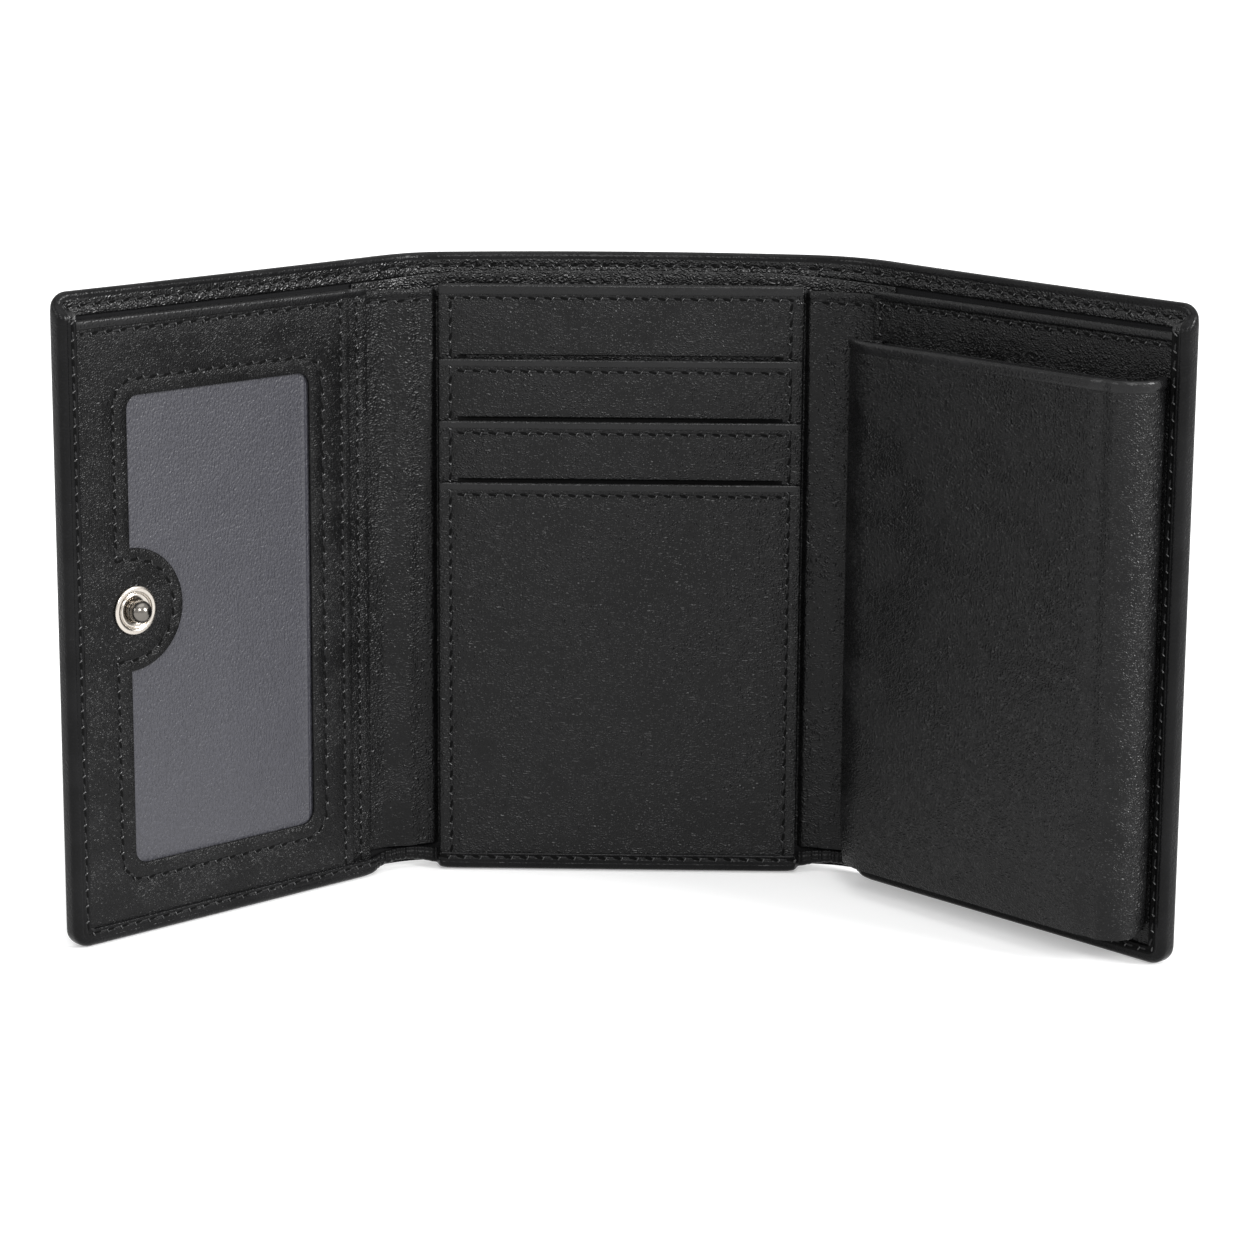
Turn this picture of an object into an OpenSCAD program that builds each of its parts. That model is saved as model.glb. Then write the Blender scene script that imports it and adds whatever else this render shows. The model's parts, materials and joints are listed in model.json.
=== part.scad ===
// Trifold wallet with an ID window, three card pockets, a bill compartment
// and an expanding coin pocket. It stands open on its bottom edges.
// Origin: middle of the centre panel's bottom edge. +X right, +Y back, +Z up.

/* [Panels] */
// Height of the outer shell
shell_h = 105; // [95:1:120]
// Step from the shell's top down to the inner panels' top
inner_drop = 4.4; // [4:0.1:8]
// Width of the centre panel
centre_w = 60.6; // [58:0.2:70]
// Width of the left panel, from its fold to its free edge
left_w = 60.7; // [58:0.1:62]
// Width of the right panel, from its fold to its free edge
right_w = 64; // [63:0.1:65]
// Radius of the outer corners
corner_r = 3; // [1:0.2:6]

/* [Leather] */
// Thickness of the outer shell leather
shell_t = 0.8; // [0.6:0.05:1]
// Thickness of the stiffener board behind the shell
board_t = 0.4; // [0.2:0.05:0.6]
// Thickness of the bill compartment lining
lining_t = 0.15; // [0.1:0.05:0.3]
// Thickness of the facing strip along the top of the shell
facing_t = 0.35; // [0.2:0.05:0.4]
// Height of the facing strip
facing_h = 3.4; // [2:0.1:5]
// Thickness of the inner panel leather
base_t = 0.5; // [0.3:0.05:0.6]
// Thickness of one card pocket layer
pocket_t = 0.45; // [0.3:0.05:0.6]
// Thickness of the turned edge on the front
hem_t = 0.45; // [0.3:0.05:0.6]
// Width of the turned edge on the front
hem_w = 3; // [2:0.1:4]
// Thickness of the turned edge where it wraps the end of a panel
hem_end_t = 0.6; // [0.4:0.05:1]
// Depth of the bill compartment inside a side panel
bill_gap = 0.5; // [0.4:0.05:0.8]
// Angle by which the centre shell leans back and opens the bill compartment
shell_lean = 3; // [2.6:0.1:4]

/* [Card pockets] */
// Distance from the inner panels' top down to the highest pocket mouth
mouth_drop = 12.4; // [10:0.2:18]
// Rise from one pocket mouth to the next
mouth_pitch = 10.4; // [8:0.1:12]

/* [Folds] */
// Angle of the left panel out of the flat position
left_angle = 43.5; // [35:0.5:55]
// Angle of the right panel out of the flat position
right_angle = 45; // [35:0.5:55]
// Gap from the centre panel to the left fold axis
left_axis_gap = 4.5; // [4:0.1:6]
// Gap from the centre panel to the right fold axis
right_axis_gap = 7.6; // [7:0.1:9]
// Distance from the left fold axis to its panel along the flat panel
left_reach = 3.7; // [3:0.1:4.2]
// Distance from the right fold axis to its panel along the flat panel
right_reach = 2.9; // [2.6:0.1:3.6]
// Space between the folded panels
fold_gap = 0.3; // [0.2:0.1:0.6]
// Space between the left and right panels that the closed snap takes up
snap_gap = 2.6; // [2.4:0.1:3.4]

/* [ID window] */
// Distance from the fold to the window
window_u = 12.6; // [10:0.2:16]
// Border between the window and the panel's free edge
window_side = 12.2; // [11:0.1:16]
// Height of the window's lower edge
window_z = 11.8; // [8:0.2:16]
// Distance from the inner panels' top down to the window
window_drop = 12.7; // [10:0.1:20]
// Radius of the window's corners
window_r = 2.2; // [1:0.1:4]
// Radius of the snap tab that reaches into the window
tab_r = 10; // [8:0.1:12]
// Distance from the fold to the window frame's own edge
frame_u = 4.3; // [3:0.1:6]
// Thickness of the window film
film_t = 0.2; // [0.1:0.05:0.3]
// Overlap of the film behind the frame
film_lap = 3; // [2:0.2:4]

/* [Coin pocket] */
// Depth of the coin pocket as it stands open
coin_depth = 9; // [8:0.2:10.5]
// Depth of the coin pocket at its fold side
coin_edge_depth = 6.5; // [6.2:0.1:7]
// Depth of the coin pocket when it is pressed flat
coin_flat_depth = 3.5; // [3.4:0.1:4.2]
// Thickness of the coin pocket front
coin_t = 0.9; // [0.6:0.1:1]
// Distance from the fold to the coin pocket
coin_u = 0.4; // [0.2:0.1:1]
// Border between the coin pocket and the panel's free edge
coin_side = 3.4; // [3.2:0.1:7]
// Height of the coin pocket's lower edge
coin_z = 4.9; // [4:0.1:8]
// Distance from the inner panels' top down to the coin pocket's open mouth
coin_drop = 6.9; // [5:0.1:20]
// Radius of the coin pocket's rounded side
coin_r = 4.2; // [3:0.1:4.6]
// Thickness of the folded gussets
gusset_t = 0.6; // [0.4:0.1:0.8]
// Depth of the pleat that folds inward beside the fold
pleat_depth = 4; // [3:0.2:5]
// Thickness of the coin pocket's fabric lining
fabric_t = 0.2; // [0.1:0.05:0.3]

/* [Snap] */
// Height of the snap above the floor
snap_z = 53.6; // [40:0.2:62]
// Distance from the left panel's free edge to the snap
snap_side = 12.8; // [11:0.1:14]
// Diameter of the stud's ring
stud_d = 7.9; // [7:0.1:9]
// Diameter of the stud's ball
ball_d = 3.7; // [3.2:0.1:3.8]
// Height of the ball's top above the panel
ball_h = 3.7; // [3.4:0.1:3.8]
// Diameter of the stud's neck
neck_d = 2.5; // [2:0.1:2.8]
// Diameter of the socket
socket_d = 10.4; // [9.6:0.1:12]
// Height of the socket above the right panel's back
socket_h = 1.9; // [1.6:0.1:2]
// Radial clearance of the ball in the socket
ball_clear = 0.45; // [0.3:0.05:0.6]
// Diameter of the spring wire
spring_d = 0.5; // [0.3:0.05:0.6]

/* [Hidden] */
$fn = 48;

leather = [0.15, 0.15, 0.155];
leather_edge = [0.2, 0.2, 0.205];
board_grey = [0.35, 0.34, 0.32];
lining_black = [0.1, 0.1, 0.11];
film_grey = [0.42, 0.42, 0.46];
nickel = [0.72, 0.68, 0.62];

// Space left between pieces of different bodies that meet at a fold
seam = 0.3;
// Small overlap used by cuts
cut = 1;
half_w = centre_w / 2;
shell_stack_t = lining_t + board_t + shell_t;

// Places that follow from the sizes of the panels
inner_h = shell_h - inner_drop;
top_mouth_z = inner_h - mouth_drop;
window_w = left_w - window_u - window_side;
window_h = inner_h - window_drop - window_z;
snap_u = left_w - snap_side;
coin_w = right_w - coin_u - coin_side;
coin_top = inner_h - coin_drop;

// Depths inside a side panel, counted back from the front of its turned edge
frame_y = hem_t;
frame_t = 0.6;
film_y = frame_y + frame_t;
left_base_y = film_y + film_t;
side_lining_y = left_base_y + base_t + bill_gap;
side_board_y = side_lining_y + lining_t;
side_shell_y = side_board_y + board_t;
panel_t = side_shell_y + shell_t;
right_base_y = hem_t;
board_inset = 2;

// Depths in the centre panel; its turned edge lies in the fold plane
fold_plane = -(hem_t + 3 * pocket_t + 0.6);
pocket_front = fold_plane + hem_t;
backing_t = 0.4;
backing_y = pocket_front + 3 * pocket_t;
centre_base_y = backing_y + backing_t;
bill_foot_gap = 0.3;
centre_shell_y = centre_base_y + base_t + bill_foot_gap;
floor_gap = 0.05;

// Fold axes: the closed panels stack in front of the fold plane
right_rise = (fold_gap + coin_flat_depth) / 2;
left_rise = (fold_gap + coin_flat_depth + panel_t + snap_gap) / 2;
left_axis = [-(half_w + left_axis_gap), fold_plane - left_rise];
right_axis = [half_w + right_axis_gap, fold_plane - right_rise];

// The socket sits where the stud lands once both panels are folded
snap_closed_x = left_axis[0] + left_reach + snap_u;
socket_u = right_axis[0] - right_reach - snap_closed_x;

// Spine leather
spine_lift = 0.8;
spine_steps = 14;
spine_inner_foot = 4;
spine_inner_drop = 0.8;
// How far a spine keeps the centre panel's and the side panel's direction
spine_start_pull = 4;
spine_end_pull = 5;
spine_inner_pull = 3;

coin_round_u = coin_u + coin_w - coin_r;
coin_bulge_w = 14;
coin_front_arc = 45;
coin_wall_arc = 51;
mouth_rise = coin_top - coin_z;
// The linings stop short of the pocket's floor and mouth
coin_lining_foot = 1;
coin_lining_drop = 1.5;
gusset_clear = 0.1;

// ---- placing ----

// Left panel coordinates: u grows from the fold to the free edge, y points back
module on_left() {
    translate([left_axis[0], left_axis[1], 0])
        rotate([0, 0, left_angle])
            translate([-left_reach, left_rise, 0])
                mirror([1, 0, 0])
                    children();
}

module on_right() {
    translate([right_axis[0], right_axis[1], 0])
        rotate([0, 0, -right_angle])
            translate([right_reach, right_rise, 0])
                children();
}

// Leans the centre shell back about its outer bottom edge
module lean() {
    translate([0, centre_shell_y + shell_stack_t, 0])
        rotate([-shell_lean, 0, 0])
            translate([0, -(centre_shell_y + shell_stack_t), 0])
                children();
}

// Raises a flat outline drawn in (width, height) into a sheet that starts at depth y
module sheet(y, t) {
    translate([0, y + t, 0])
        rotate([90, 0, 0])
            linear_extrude(height = t)
                children();
}

module block(x0, x1, y, t, z0, z1) {
    translate([x0, y, z0])
        cube([x1 - x0, t, z1 - z0]);
}

// Turns a profile (radius, height) into a round part whose height points to the front
module front_round(u, z) {
    translate([u, 0, z])
        rotate([90, 0, 0])
            rotate_extrude()
                children();
}

// ---- outlines ----

// Side panel outline: square at the fold, rounded at the free edge
module side_outline(w, h) {
    square([w - corner_r, h]);
    translate([0, corner_r])
        square([w, h - 2 * corner_r]);
    for (z = [corner_r, h - corner_r])
        translate([w - corner_r, z])
            circle(r = corner_r);
}

module rounded_rect(w, h, r) {
    translate([r, 0])
        square([w - 2 * r, h]);
    translate([0, r])
        square([w, h - 2 * r]);
    for (x = [r, w - r])
        for (z = [r, h - r])
            translate([x, z])
                circle(r = r);
}

// Bottom and free-edge strip of a side panel
module edge_strip(w, strip) {
    difference() {
        side_outline(w, shell_h);
        translate([-cut, strip])
            square([w - strip + cut, shell_h]);
    }
}

// ---- pieces that repeat on both side panels ----

module side_shell(w) {
    sheet(side_shell_y, shell_t)
        side_outline(w, shell_h);
}

module side_board(w) {
    block(board_inset, w - board_inset, side_board_y, board_t, board_inset, shell_h - board_inset);
}

module side_lining(w) {
    block(0, w - hem_end_t, side_lining_y, lining_t, hem_end_t, shell_h - floor_gap);
}

module side_facing(w) {
    block(0, w - hem_end_t, side_lining_y - facing_t, facing_t, shell_h - facing_h, shell_h - floor_gap);
}

module side_binding(w) {
    sheet(0, hem_t)
        edge_strip(w, hem_w);
    sheet(hem_t, side_shell_y - hem_t)
        edge_strip(w, hem_end_t);
}

// ---- centre panel ----

module centre_sheet(y, t, z0, z1) {
    block(-half_w, half_w, y, t, z0, z1);
}

module centre_shell() {
    color(leather)
        lean()
            centre_sheet(centre_shell_y + lining_t + board_t, shell_t, 0, shell_h);
}

module centre_board() {
    color(board_grey)
        lean()
            block(board_inset - half_w, half_w - board_inset, centre_shell_y + lining_t, board_t,
                  board_inset, shell_h - board_inset);
}

module centre_lining() {
    color(lining_black)
        lean()
            centre_sheet(centre_shell_y, lining_t, hem_end_t, shell_h - floor_gap);
}

module centre_facing() {
    color(leather)
        lean()
            centre_sheet(centre_shell_y - facing_t, facing_t, shell_h - facing_h, shell_h - floor_gap);
}

// Turned edge of the shell along the centre panel's foot
module centre_binding() {
    back = centre_shell_y;
    color(leather_edge)
        translate([-half_w, 0, 0])
            rotate([90, 0, 90])
                linear_extrude(height = centre_w)
                    polygon([
                        [fold_plane, 0], [back, 0], [back, hem_end_t],
                        [pocket_front, hem_end_t], [pocket_front, hem_w], [fold_plane, hem_w]
                    ]);
}

module centre_base() {
    color(leather)
        centre_sheet(centre_base_y, base_t, hem_end_t, inner_h);
}

module card_backing() {
    color(leather)
        centre_sheet(backing_y, backing_t, hem_end_t, inner_h);
}

// Pocket 0 is the lowest and lies in front
module card_pocket(i) {
    color(leather)
        centre_sheet(pocket_front + i * pocket_t, pocket_t, hem_end_t, top_mouth_z - (2 - i) * mouth_pitch);
}

// ---- spines ----

// Point on a cubic curve
function bezier(p, t) =
    pow(1 - t, 3) * p[0] + 3 * pow(1 - t, 2) * t * p[1] + 3 * (1 - t) * t * t * p[2] + t * t * t * p[3];

function bezier_dir(p, t) =
    let (d = (1 - t) * (1 - t) * (p[1] - p[0]) + 2 * (1 - t) * t * (p[2] - p[1]) + t * t * (p[3] - p[2]))
    d / norm(d);

// Offset curve: side is +1 to the left of the direction of travel, -1 to its right
function spine_line(p, side, off) = [
    for (i = [0 : spine_steps])
        let (t = i / spine_steps, d = bezier_dir(p, t))
        bezier(p, t) + side * off * [-d[1], d[0]]
];

// Control points of a spine: s is -1 on the left and +1 on the right.
// a is the start on the centre panel, b the end on the side panel, turn the panel's angle.
function spine_path(s, a, b, turn, start_pull, end_pull) =
    let (dir = [s * cos(turn), -sin(turn)])
    [a, a + [s * start_pull, 0], b - end_pull * dir, b];

// A point of a side panel, u from its fold and y back from its front, in the part's frame
function side_point(s, u, y) =
    let (
        axis = s < 0 ? left_axis : right_axis,
        reach = s < 0 ? left_reach : right_reach,
        rise = s < 0 ? left_rise : right_rise,
        turn = s < 0 ? left_angle : right_angle,
        along = reach + u,
        deep = rise + y
    )
    axis + [s * (along * cos(turn) + deep * sin(turn)), -along * sin(turn) + deep * cos(turn)];

// Upright sheet t thick, off behind the given courses, one course for each height.
// Sheets on the same courses share their faces exactly.
module ruled_sheet(courses, heights, side, off, t) {
    n = spine_steps + 1;
    last = len(heights) - 1;
    points = [
        for (k = [0 : last])
            each concat(
                [for (p = spine_line(courses[k], side, off)) [p[0], p[1], heights[k]]],
                [for (p = spine_line(courses[k], side, off + t)) [p[0], p[1], heights[k]]]
            )
    ];
    walls = [
        for (k = [0 : last - 1])
            for (i = [0 : n - 2])
                let (
                    front = 2 * n * k + i,
                    back = front + n,
                    front_up = front + 2 * n,
                    back_up = back + 2 * n
                )
                each [
                    [front, front_up + 1, front + 1], [front, front_up, front_up + 1],
                    [back, back + 1, back_up + 1], [back, back_up + 1, back_up]
                ]
    ];
    foot_and_top = [
        for (i = [0 : n - 2])
            let (top = 2 * n * last + i)
            each [
                [i, i + 1, n + i + 1], [i, n + i + 1, n + i],
                [top, top + n + 1, top + 1], [top, top + n, top + n + 1]
            ]
    ];
    ends = [
        for (k = [0 : last - 1])
            let (near = 2 * n * k, far = near + n - 1)
            each [
                [near, near + n, near + 3 * n], [near, near + 3 * n, near + 2 * n],
                [far, far + 2 * n, far + 3 * n], [far, far + 3 * n, far + n]
            ]
    ];
    faces = concat(walls, foot_and_top, ends);
    polyhedron(points = points, faces = side > 0 ? faces : [for (f = faces) [f[2], f[1], f[0]]]);
}

// y of a leaning depth at height z
function lean_y(y, z) = y + z * tan(shell_lean);

// Course of the front of a spine's lining at height z.
// It bellies out further towards the top, where the bill compartment opens.
function shell_course(s, z) =
    let (
        belly = z / shell_h,
        turn = s < 0 ? left_angle : right_angle,
        a = [s * half_w, lean_y(centre_shell_y, z)],
        b = side_point(s, -seam, side_lining_y)
    )
    spine_path(s, a, b, turn, spine_start_pull + belly, spine_end_pull + belly);

// One sheet of the shell at a spine, off behind the front of the lining
module shell_spine(s, off, t, heights) {
    ruled_sheet([for (z = heights) shell_course(s, z)], heights, s, off, t);
}

facing_foot_z = shell_h - facing_h;
spine_top_z = shell_h - spine_lift;

module spine_shell(s) {
    color(leather)
        shell_spine(s, lining_t + board_t, shell_t, [spine_lift, facing_foot_z, spine_top_z]);
}

module spine_lining(s) {
    color(lining_black)
        shell_spine(s, 0, lining_t, [spine_lift, facing_foot_z, spine_top_z]);
}

module spine_facing(s) {
    color(leather)
        shell_spine(s, -facing_t, facing_t, [facing_foot_z, spine_top_z]);
}

// Inner leather that joins the inner panels and closes the front of the bill compartment
module spine_inner(s) {
    turn = s < 0 ? left_angle : right_angle;
    base_y = s < 0 ? left_base_y : right_base_y;
    a = [s * half_w, centre_base_y];
    b = side_point(s, -seam, base_y);
    course = spine_path(s, a, b, turn, spine_inner_pull, spine_inner_pull);
    color(leather)
        ruled_sheet([course, course], [spine_inner_foot, inner_h - spine_inner_drop], s, 0, base_t);
}

// ---- left panel ----

module left_shell() {
    color(leather)
        on_left()
            side_shell(left_w);
}

module left_board() {
    color(board_grey)
        on_left()
            side_board(left_w);
}

module left_lining() {
    color(lining_black)
        on_left()
            side_lining(left_w);
}

module left_facing() {
    color(leather)
        on_left()
            side_facing(left_w);
}

module left_binding() {
    color(leather_edge)
        on_left()
            side_binding(left_w);
}

module left_base() {
    color(leather)
        on_left()
            difference() {
                block(0, left_w - hem_end_t, left_base_y, base_t, hem_end_t, inner_h);
                stud_hole();
            }
}

module window_outline() {
    difference() {
        translate([window_u, window_z])
            rounded_rect(window_w, window_h, window_r);
        translate([window_u + window_w, snap_z])
            circle(r = tab_r);
    }
}

module id_window_frame() {
    color(leather)
        on_left()
            difference() {
                sheet(frame_y, frame_t)
                    difference() {
                        translate([frame_u, hem_end_t])
                            square([left_w - hem_end_t - frame_u, inner_h - hem_end_t]);
                        window_outline();
                    }
                stud_hole();
            }
}

module id_window_film() {
    color(film_grey)
        on_left()
            difference() {
                block(window_u - film_lap, window_u + window_w + film_lap, film_y, film_t,
                      window_z - film_lap, window_z + window_h + film_lap);
                stud_hole();
            }
}

// ---- snap ----

barrel_r = 1.5;
barrel_clear = 0.1;
eyelet_r = 3.6;
eyelet_t = 0.3;
ring_t = 0.8;
rim_r = 0.4;
ball_y = ball_h - ball_d / 2;

module stud_hole() {
    translate([snap_u, panel_t, snap_z])
        rotate([90, 0, 0])
            cylinder(r = barrel_r + barrel_clear, h = 2 * panel_t);
}

// Round stud: ring with a rolled rim and an inner step, a neck and a ball.
// Heights count forward from the front of the turned edge.
module snap_stud() {
    ring_r = stud_d / 2;
    ring_back = -frame_y;
    ring_front = ring_back + ring_t;
    step_r = ring_r * 0.62;
    step_h = ring_front + 0.25;
    color(nickel)
        on_left()
            front_round(snap_u, snap_z) {
                polygon([
                    [0, -left_base_y - base_t], [barrel_r, -left_base_y - base_t], [barrel_r, ring_back],
                    [ring_r, ring_back], [ring_r, ring_front - rim_r],
                    [ring_r - 2 * rim_r, ring_front - rim_r],
                    [step_r, ring_back + ring_t / 2], [step_r, step_h], [step_r - 0.5, step_h],
                    [neck_d / 2 + 0.15, ring_front - rim_r], [neck_d / 2, ball_y], [0, ball_y]
                ]);
                translate([ring_r - rim_r, ring_front - rim_r])
                    circle(r = rim_r);
                intersection() {
                    translate([0, ball_y])
                        circle(d = ball_d);
                    translate([0, ball_y - ball_d])
                        square([ball_d, 2 * ball_d]);
                }
            }
}

// Eyelet clinched behind the inner panel
module snap_stud_eyelet() {
    back = left_base_y + base_t;
    color(nickel)
        on_left()
            front_round(snap_u, snap_z)
                polygon([
                    [0, -back - eyelet_t], [eyelet_r - 0.2, -back - eyelet_t],
                    [eyelet_r, -back - eyelet_t / 2], [eyelet_r, -back], [0, -back]
                ]);
}

socket_barrel_r = 3.2;
socket_depth = 1.7;
socket_floor_t = 0.2;
socket_bore_r = ball_d / 2 + ball_clear;
spring_seat_r = socket_bore_r + spring_d + 0.1;
spring_y = socket_h / 2;

// Socket profile: heights count back from the right panel's outer face
module socket_round(u) {
    translate([u, panel_t, snap_z])
        rotate([-90, 0, 0])
            rotate_extrude()
                children();
}

module socket_hole() {
    translate([socket_u, 0, snap_z])
        rotate([-90, 0, 0])
            cylinder(r = socket_barrel_r + barrel_clear, h = 2 * panel_t);
}

module snap_socket() {
    socket_r = socket_d / 2;
    color(nickel)
        on_right()
            socket_round(socket_u)
                difference() {
                    union() {
                        translate([0, -socket_depth])
                            square([socket_barrel_r, socket_depth + cut]);
                        polygon([
                            [0, 0], [socket_r, 0], [socket_r, socket_h * 0.3],
                            [socket_r - 0.3, socket_h * 0.55], [socket_r - 1.3, socket_h * 0.72],
                            [socket_r - 1.7, socket_h], [0, socket_h]
                        ]);
                    }
                    translate([0, socket_floor_t - socket_depth])
                        square([socket_bore_r, socket_depth + socket_h]);
                    translate([0, spring_y - spring_d * 0.7])
                        square([spring_seat_r, spring_d * 1.4]);
                }
}

// Open wire ring that grips the stud's neck
module snap_socket_spring() {
    color(nickel)
        on_right()
            translate([socket_u, panel_t + spring_y, snap_z])
                rotate([-90, 0, 0])
                    rotate([0, 0, 20])
                        rotate_extrude(angle = 320)
                            translate([spring_seat_r - spring_d / 2 - 0.05, 0])
                                circle(d = spring_d, $fn = 16);
}

// Flat ring clinched behind the right panel's shell
module snap_socket_eyelet() {
    washer_t = 0.3;
    color(nickel)
        on_right()
            socket_round(socket_u)
                translate([socket_barrel_r, -shell_stack_t - washer_t])
                    square([1.3, washer_t]);
}

// ---- right panel ----

module right_shell() {
    color(leather)
        on_right()
            difference() {
                side_shell(right_w);
                socket_hole();
            }
}

module right_board() {
    color(board_grey)
        on_right()
            difference() {
                side_board(right_w);
                socket_hole();
            }
}

module right_lining() {
    color(lining_black)
        on_right()
            difference() {
                side_lining(right_w);
                socket_hole();
            }
}

module right_facing() {
    color(leather)
        on_right()
            side_facing(right_w);
}

module right_binding() {
    color(leather_edge)
        on_right()
            side_binding(right_w);
}

module right_base() {
    color(leather)
        on_right()
            block(0, right_w - hem_end_t, right_base_y, base_t, hem_end_t, inner_h);
}

module coin_back_lining() {
    color(lining_black)
        on_right()
            block(coin_u + 1.6, coin_u + coin_w - coin_t - seam, right_base_y - fabric_t, fabric_t,
                  coin_z + gusset_t + gusset_clear, coin_top - coin_lining_drop);
}

// Coin front in plan from the fold to part of its rounded side, moved in by inset
function coin_profile(inset) = concat(
    [
        for (i = [0 : 8])
            [coin_u + coin_bulge_w * i / 8,
             inset - coin_edge_depth - (coin_depth - coin_edge_depth) * sin(90 * i / 8)]
    ],
    [
        for (a = [0 : 9 : coin_front_arc])
            [coin_round_u + (coin_r - inset) * sin(a), coin_r - coin_depth - (coin_r - inset) * cos(a)]
    ]
);

// Rounded side of the coin pocket from the front's edge back to the panel
function coin_wall_profile(inset) = concat(
    [
        for (i = [0 : 5])
            let (a = coin_wall_arc + (90 - coin_wall_arc) * i / 5)
            [coin_round_u + (coin_r - inset) * sin(a), coin_r - coin_depth - (coin_r - inset) * cos(a)]
    ],
    [[coin_round_u + coin_r - inset, right_base_y]]
);

function reversed(list) = [for (i = [len(list) - 1 : -1 : 0]) list[i]];

module coin_front() {
    color(leather)
        on_right()
            translate([0, 0, coin_z])
                linear_extrude(height = mouth_rise)
                    polygon(concat(coin_profile(0), reversed(coin_profile(coin_t))));
}

module coin_front_lining() {
    lining = coin_profile(coin_t);
    backed = coin_profile(coin_t + fabric_t);
    color(lining_black)
        on_right()
            translate([0, 0, coin_z + coin_lining_foot])
                linear_extrude(height = mouth_rise - coin_lining_foot - coin_lining_drop)
                    polygon(concat([for (i = [1 : 11]) lining[i]], [for (i = [11 : -1 : 1]) backed[i]]));
}

module coin_side_wall() {
    color(leather)
        on_right()
            translate([0, 0, coin_z + gusset_t + gusset_clear])
                linear_extrude(height = mouth_rise - gusset_t - gusset_clear)
                    polygon(concat(coin_wall_profile(0), reversed(coin_wall_profile(coin_t))));
}

// Pleat that folds inward beside the fold
module coin_fold_gusset() {
    front = coin_t + seam - coin_edge_depth;
    middle = (front + right_base_y) / 2;
    gusset_drop = 0.5;
    color(leather)
        on_right()
            translate([coin_u, 0, coin_z + gusset_t + gusset_clear])
                linear_extrude(height = mouth_rise - gusset_t - gusset_clear - gusset_drop)
                    polygon([
                        [0, front], [pleat_depth, middle], [0, right_base_y],
                        [gusset_t, right_base_y], [pleat_depth + gusset_t, middle], [gusset_t, front]
                    ]);
}

module coin_floor_gusset() {
    inside = coin_profile(coin_t + seam);
    color(leather)
        on_right()
            translate([0, 0, coin_z])
                linear_extrude(height = gusset_t)
                    polygon(concat(inside, coin_wall_profile(0), [[coin_u, right_base_y]]));
}

// ---- parts ----

centre_shell();
centre_board();
centre_lining();
centre_facing();
centre_binding();
centre_base();
card_backing();
card_pocket(2);  // card_pocket_upper
card_pocket(1);  // card_pocket_middle
card_pocket(0);  // card_pocket_lower
spine_shell(-1);  // left_spine_shell
spine_lining(-1);  // left_spine_lining
spine_facing(-1);  // left_spine_facing
spine_inner(-1);  // left_spine_inner
spine_shell(1);  // right_spine_shell
spine_lining(1);  // right_spine_lining
spine_facing(1);  // right_spine_facing
spine_inner(1);  // right_spine_inner
left_shell();
left_board();
left_lining();
left_facing();
left_binding();
left_base();
id_window_frame();
id_window_film();
snap_stud();
snap_stud_eyelet();
right_shell();
right_board();
right_lining();
right_facing();
right_binding();
right_base();
coin_back_lining();
snap_socket();
snap_socket_spring();
snap_socket_eyelet();
coin_front();
coin_front_lining();
coin_side_wall();
coin_fold_gusset();
coin_floor_gusset();
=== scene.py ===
"""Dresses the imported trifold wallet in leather, lining, film, metal and stitching, and sets its stage."""

import json
import math

import bmesh
import bpy
import numpy as np
from bpy.props import FloatProperty, FloatVectorProperty, PointerProperty
from mathutils import Matrix, Vector
from mathutils.geometry import delaunay_2d_cdt


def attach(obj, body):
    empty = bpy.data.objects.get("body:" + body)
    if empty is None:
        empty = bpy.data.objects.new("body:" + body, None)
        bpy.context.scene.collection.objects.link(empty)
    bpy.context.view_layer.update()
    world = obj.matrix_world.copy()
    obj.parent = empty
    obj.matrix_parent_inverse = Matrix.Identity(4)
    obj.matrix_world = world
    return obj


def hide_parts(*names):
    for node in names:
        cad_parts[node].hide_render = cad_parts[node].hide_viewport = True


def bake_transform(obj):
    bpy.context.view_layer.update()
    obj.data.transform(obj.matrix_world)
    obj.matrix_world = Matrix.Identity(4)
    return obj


bl_info = {
    "name": "Trifold Wallet",
    "version": (1, 0, 0),
    "blender": (4, 5, 0),
    "location": "3D View > Sidebar > Wallet",
    "description": "Dresses a trifold wallet in leather, lining, film, metal and stitching",
    "category": "Object",
}

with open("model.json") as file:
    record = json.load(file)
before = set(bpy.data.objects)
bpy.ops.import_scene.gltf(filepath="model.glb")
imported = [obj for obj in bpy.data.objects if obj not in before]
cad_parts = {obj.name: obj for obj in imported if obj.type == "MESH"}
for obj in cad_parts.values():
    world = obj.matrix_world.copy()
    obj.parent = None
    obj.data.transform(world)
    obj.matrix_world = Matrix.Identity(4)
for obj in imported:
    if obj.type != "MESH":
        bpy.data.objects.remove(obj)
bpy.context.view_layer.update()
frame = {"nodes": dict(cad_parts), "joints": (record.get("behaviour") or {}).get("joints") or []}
NODES = frame["nodes"]
MM = 0.001


# ---- sizes and colours that a user may change ----


def length(name, description, default):
    return FloatProperty(
        name=name, description=description, default=default * MM, min=0, subtype="DISTANCE", unit="LENGTH"
    )


def colour(name, description, default):
    return FloatVectorProperty(
        name=name, description=description, default=default, min=0, max=1, subtype="COLOR"
    )


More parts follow.
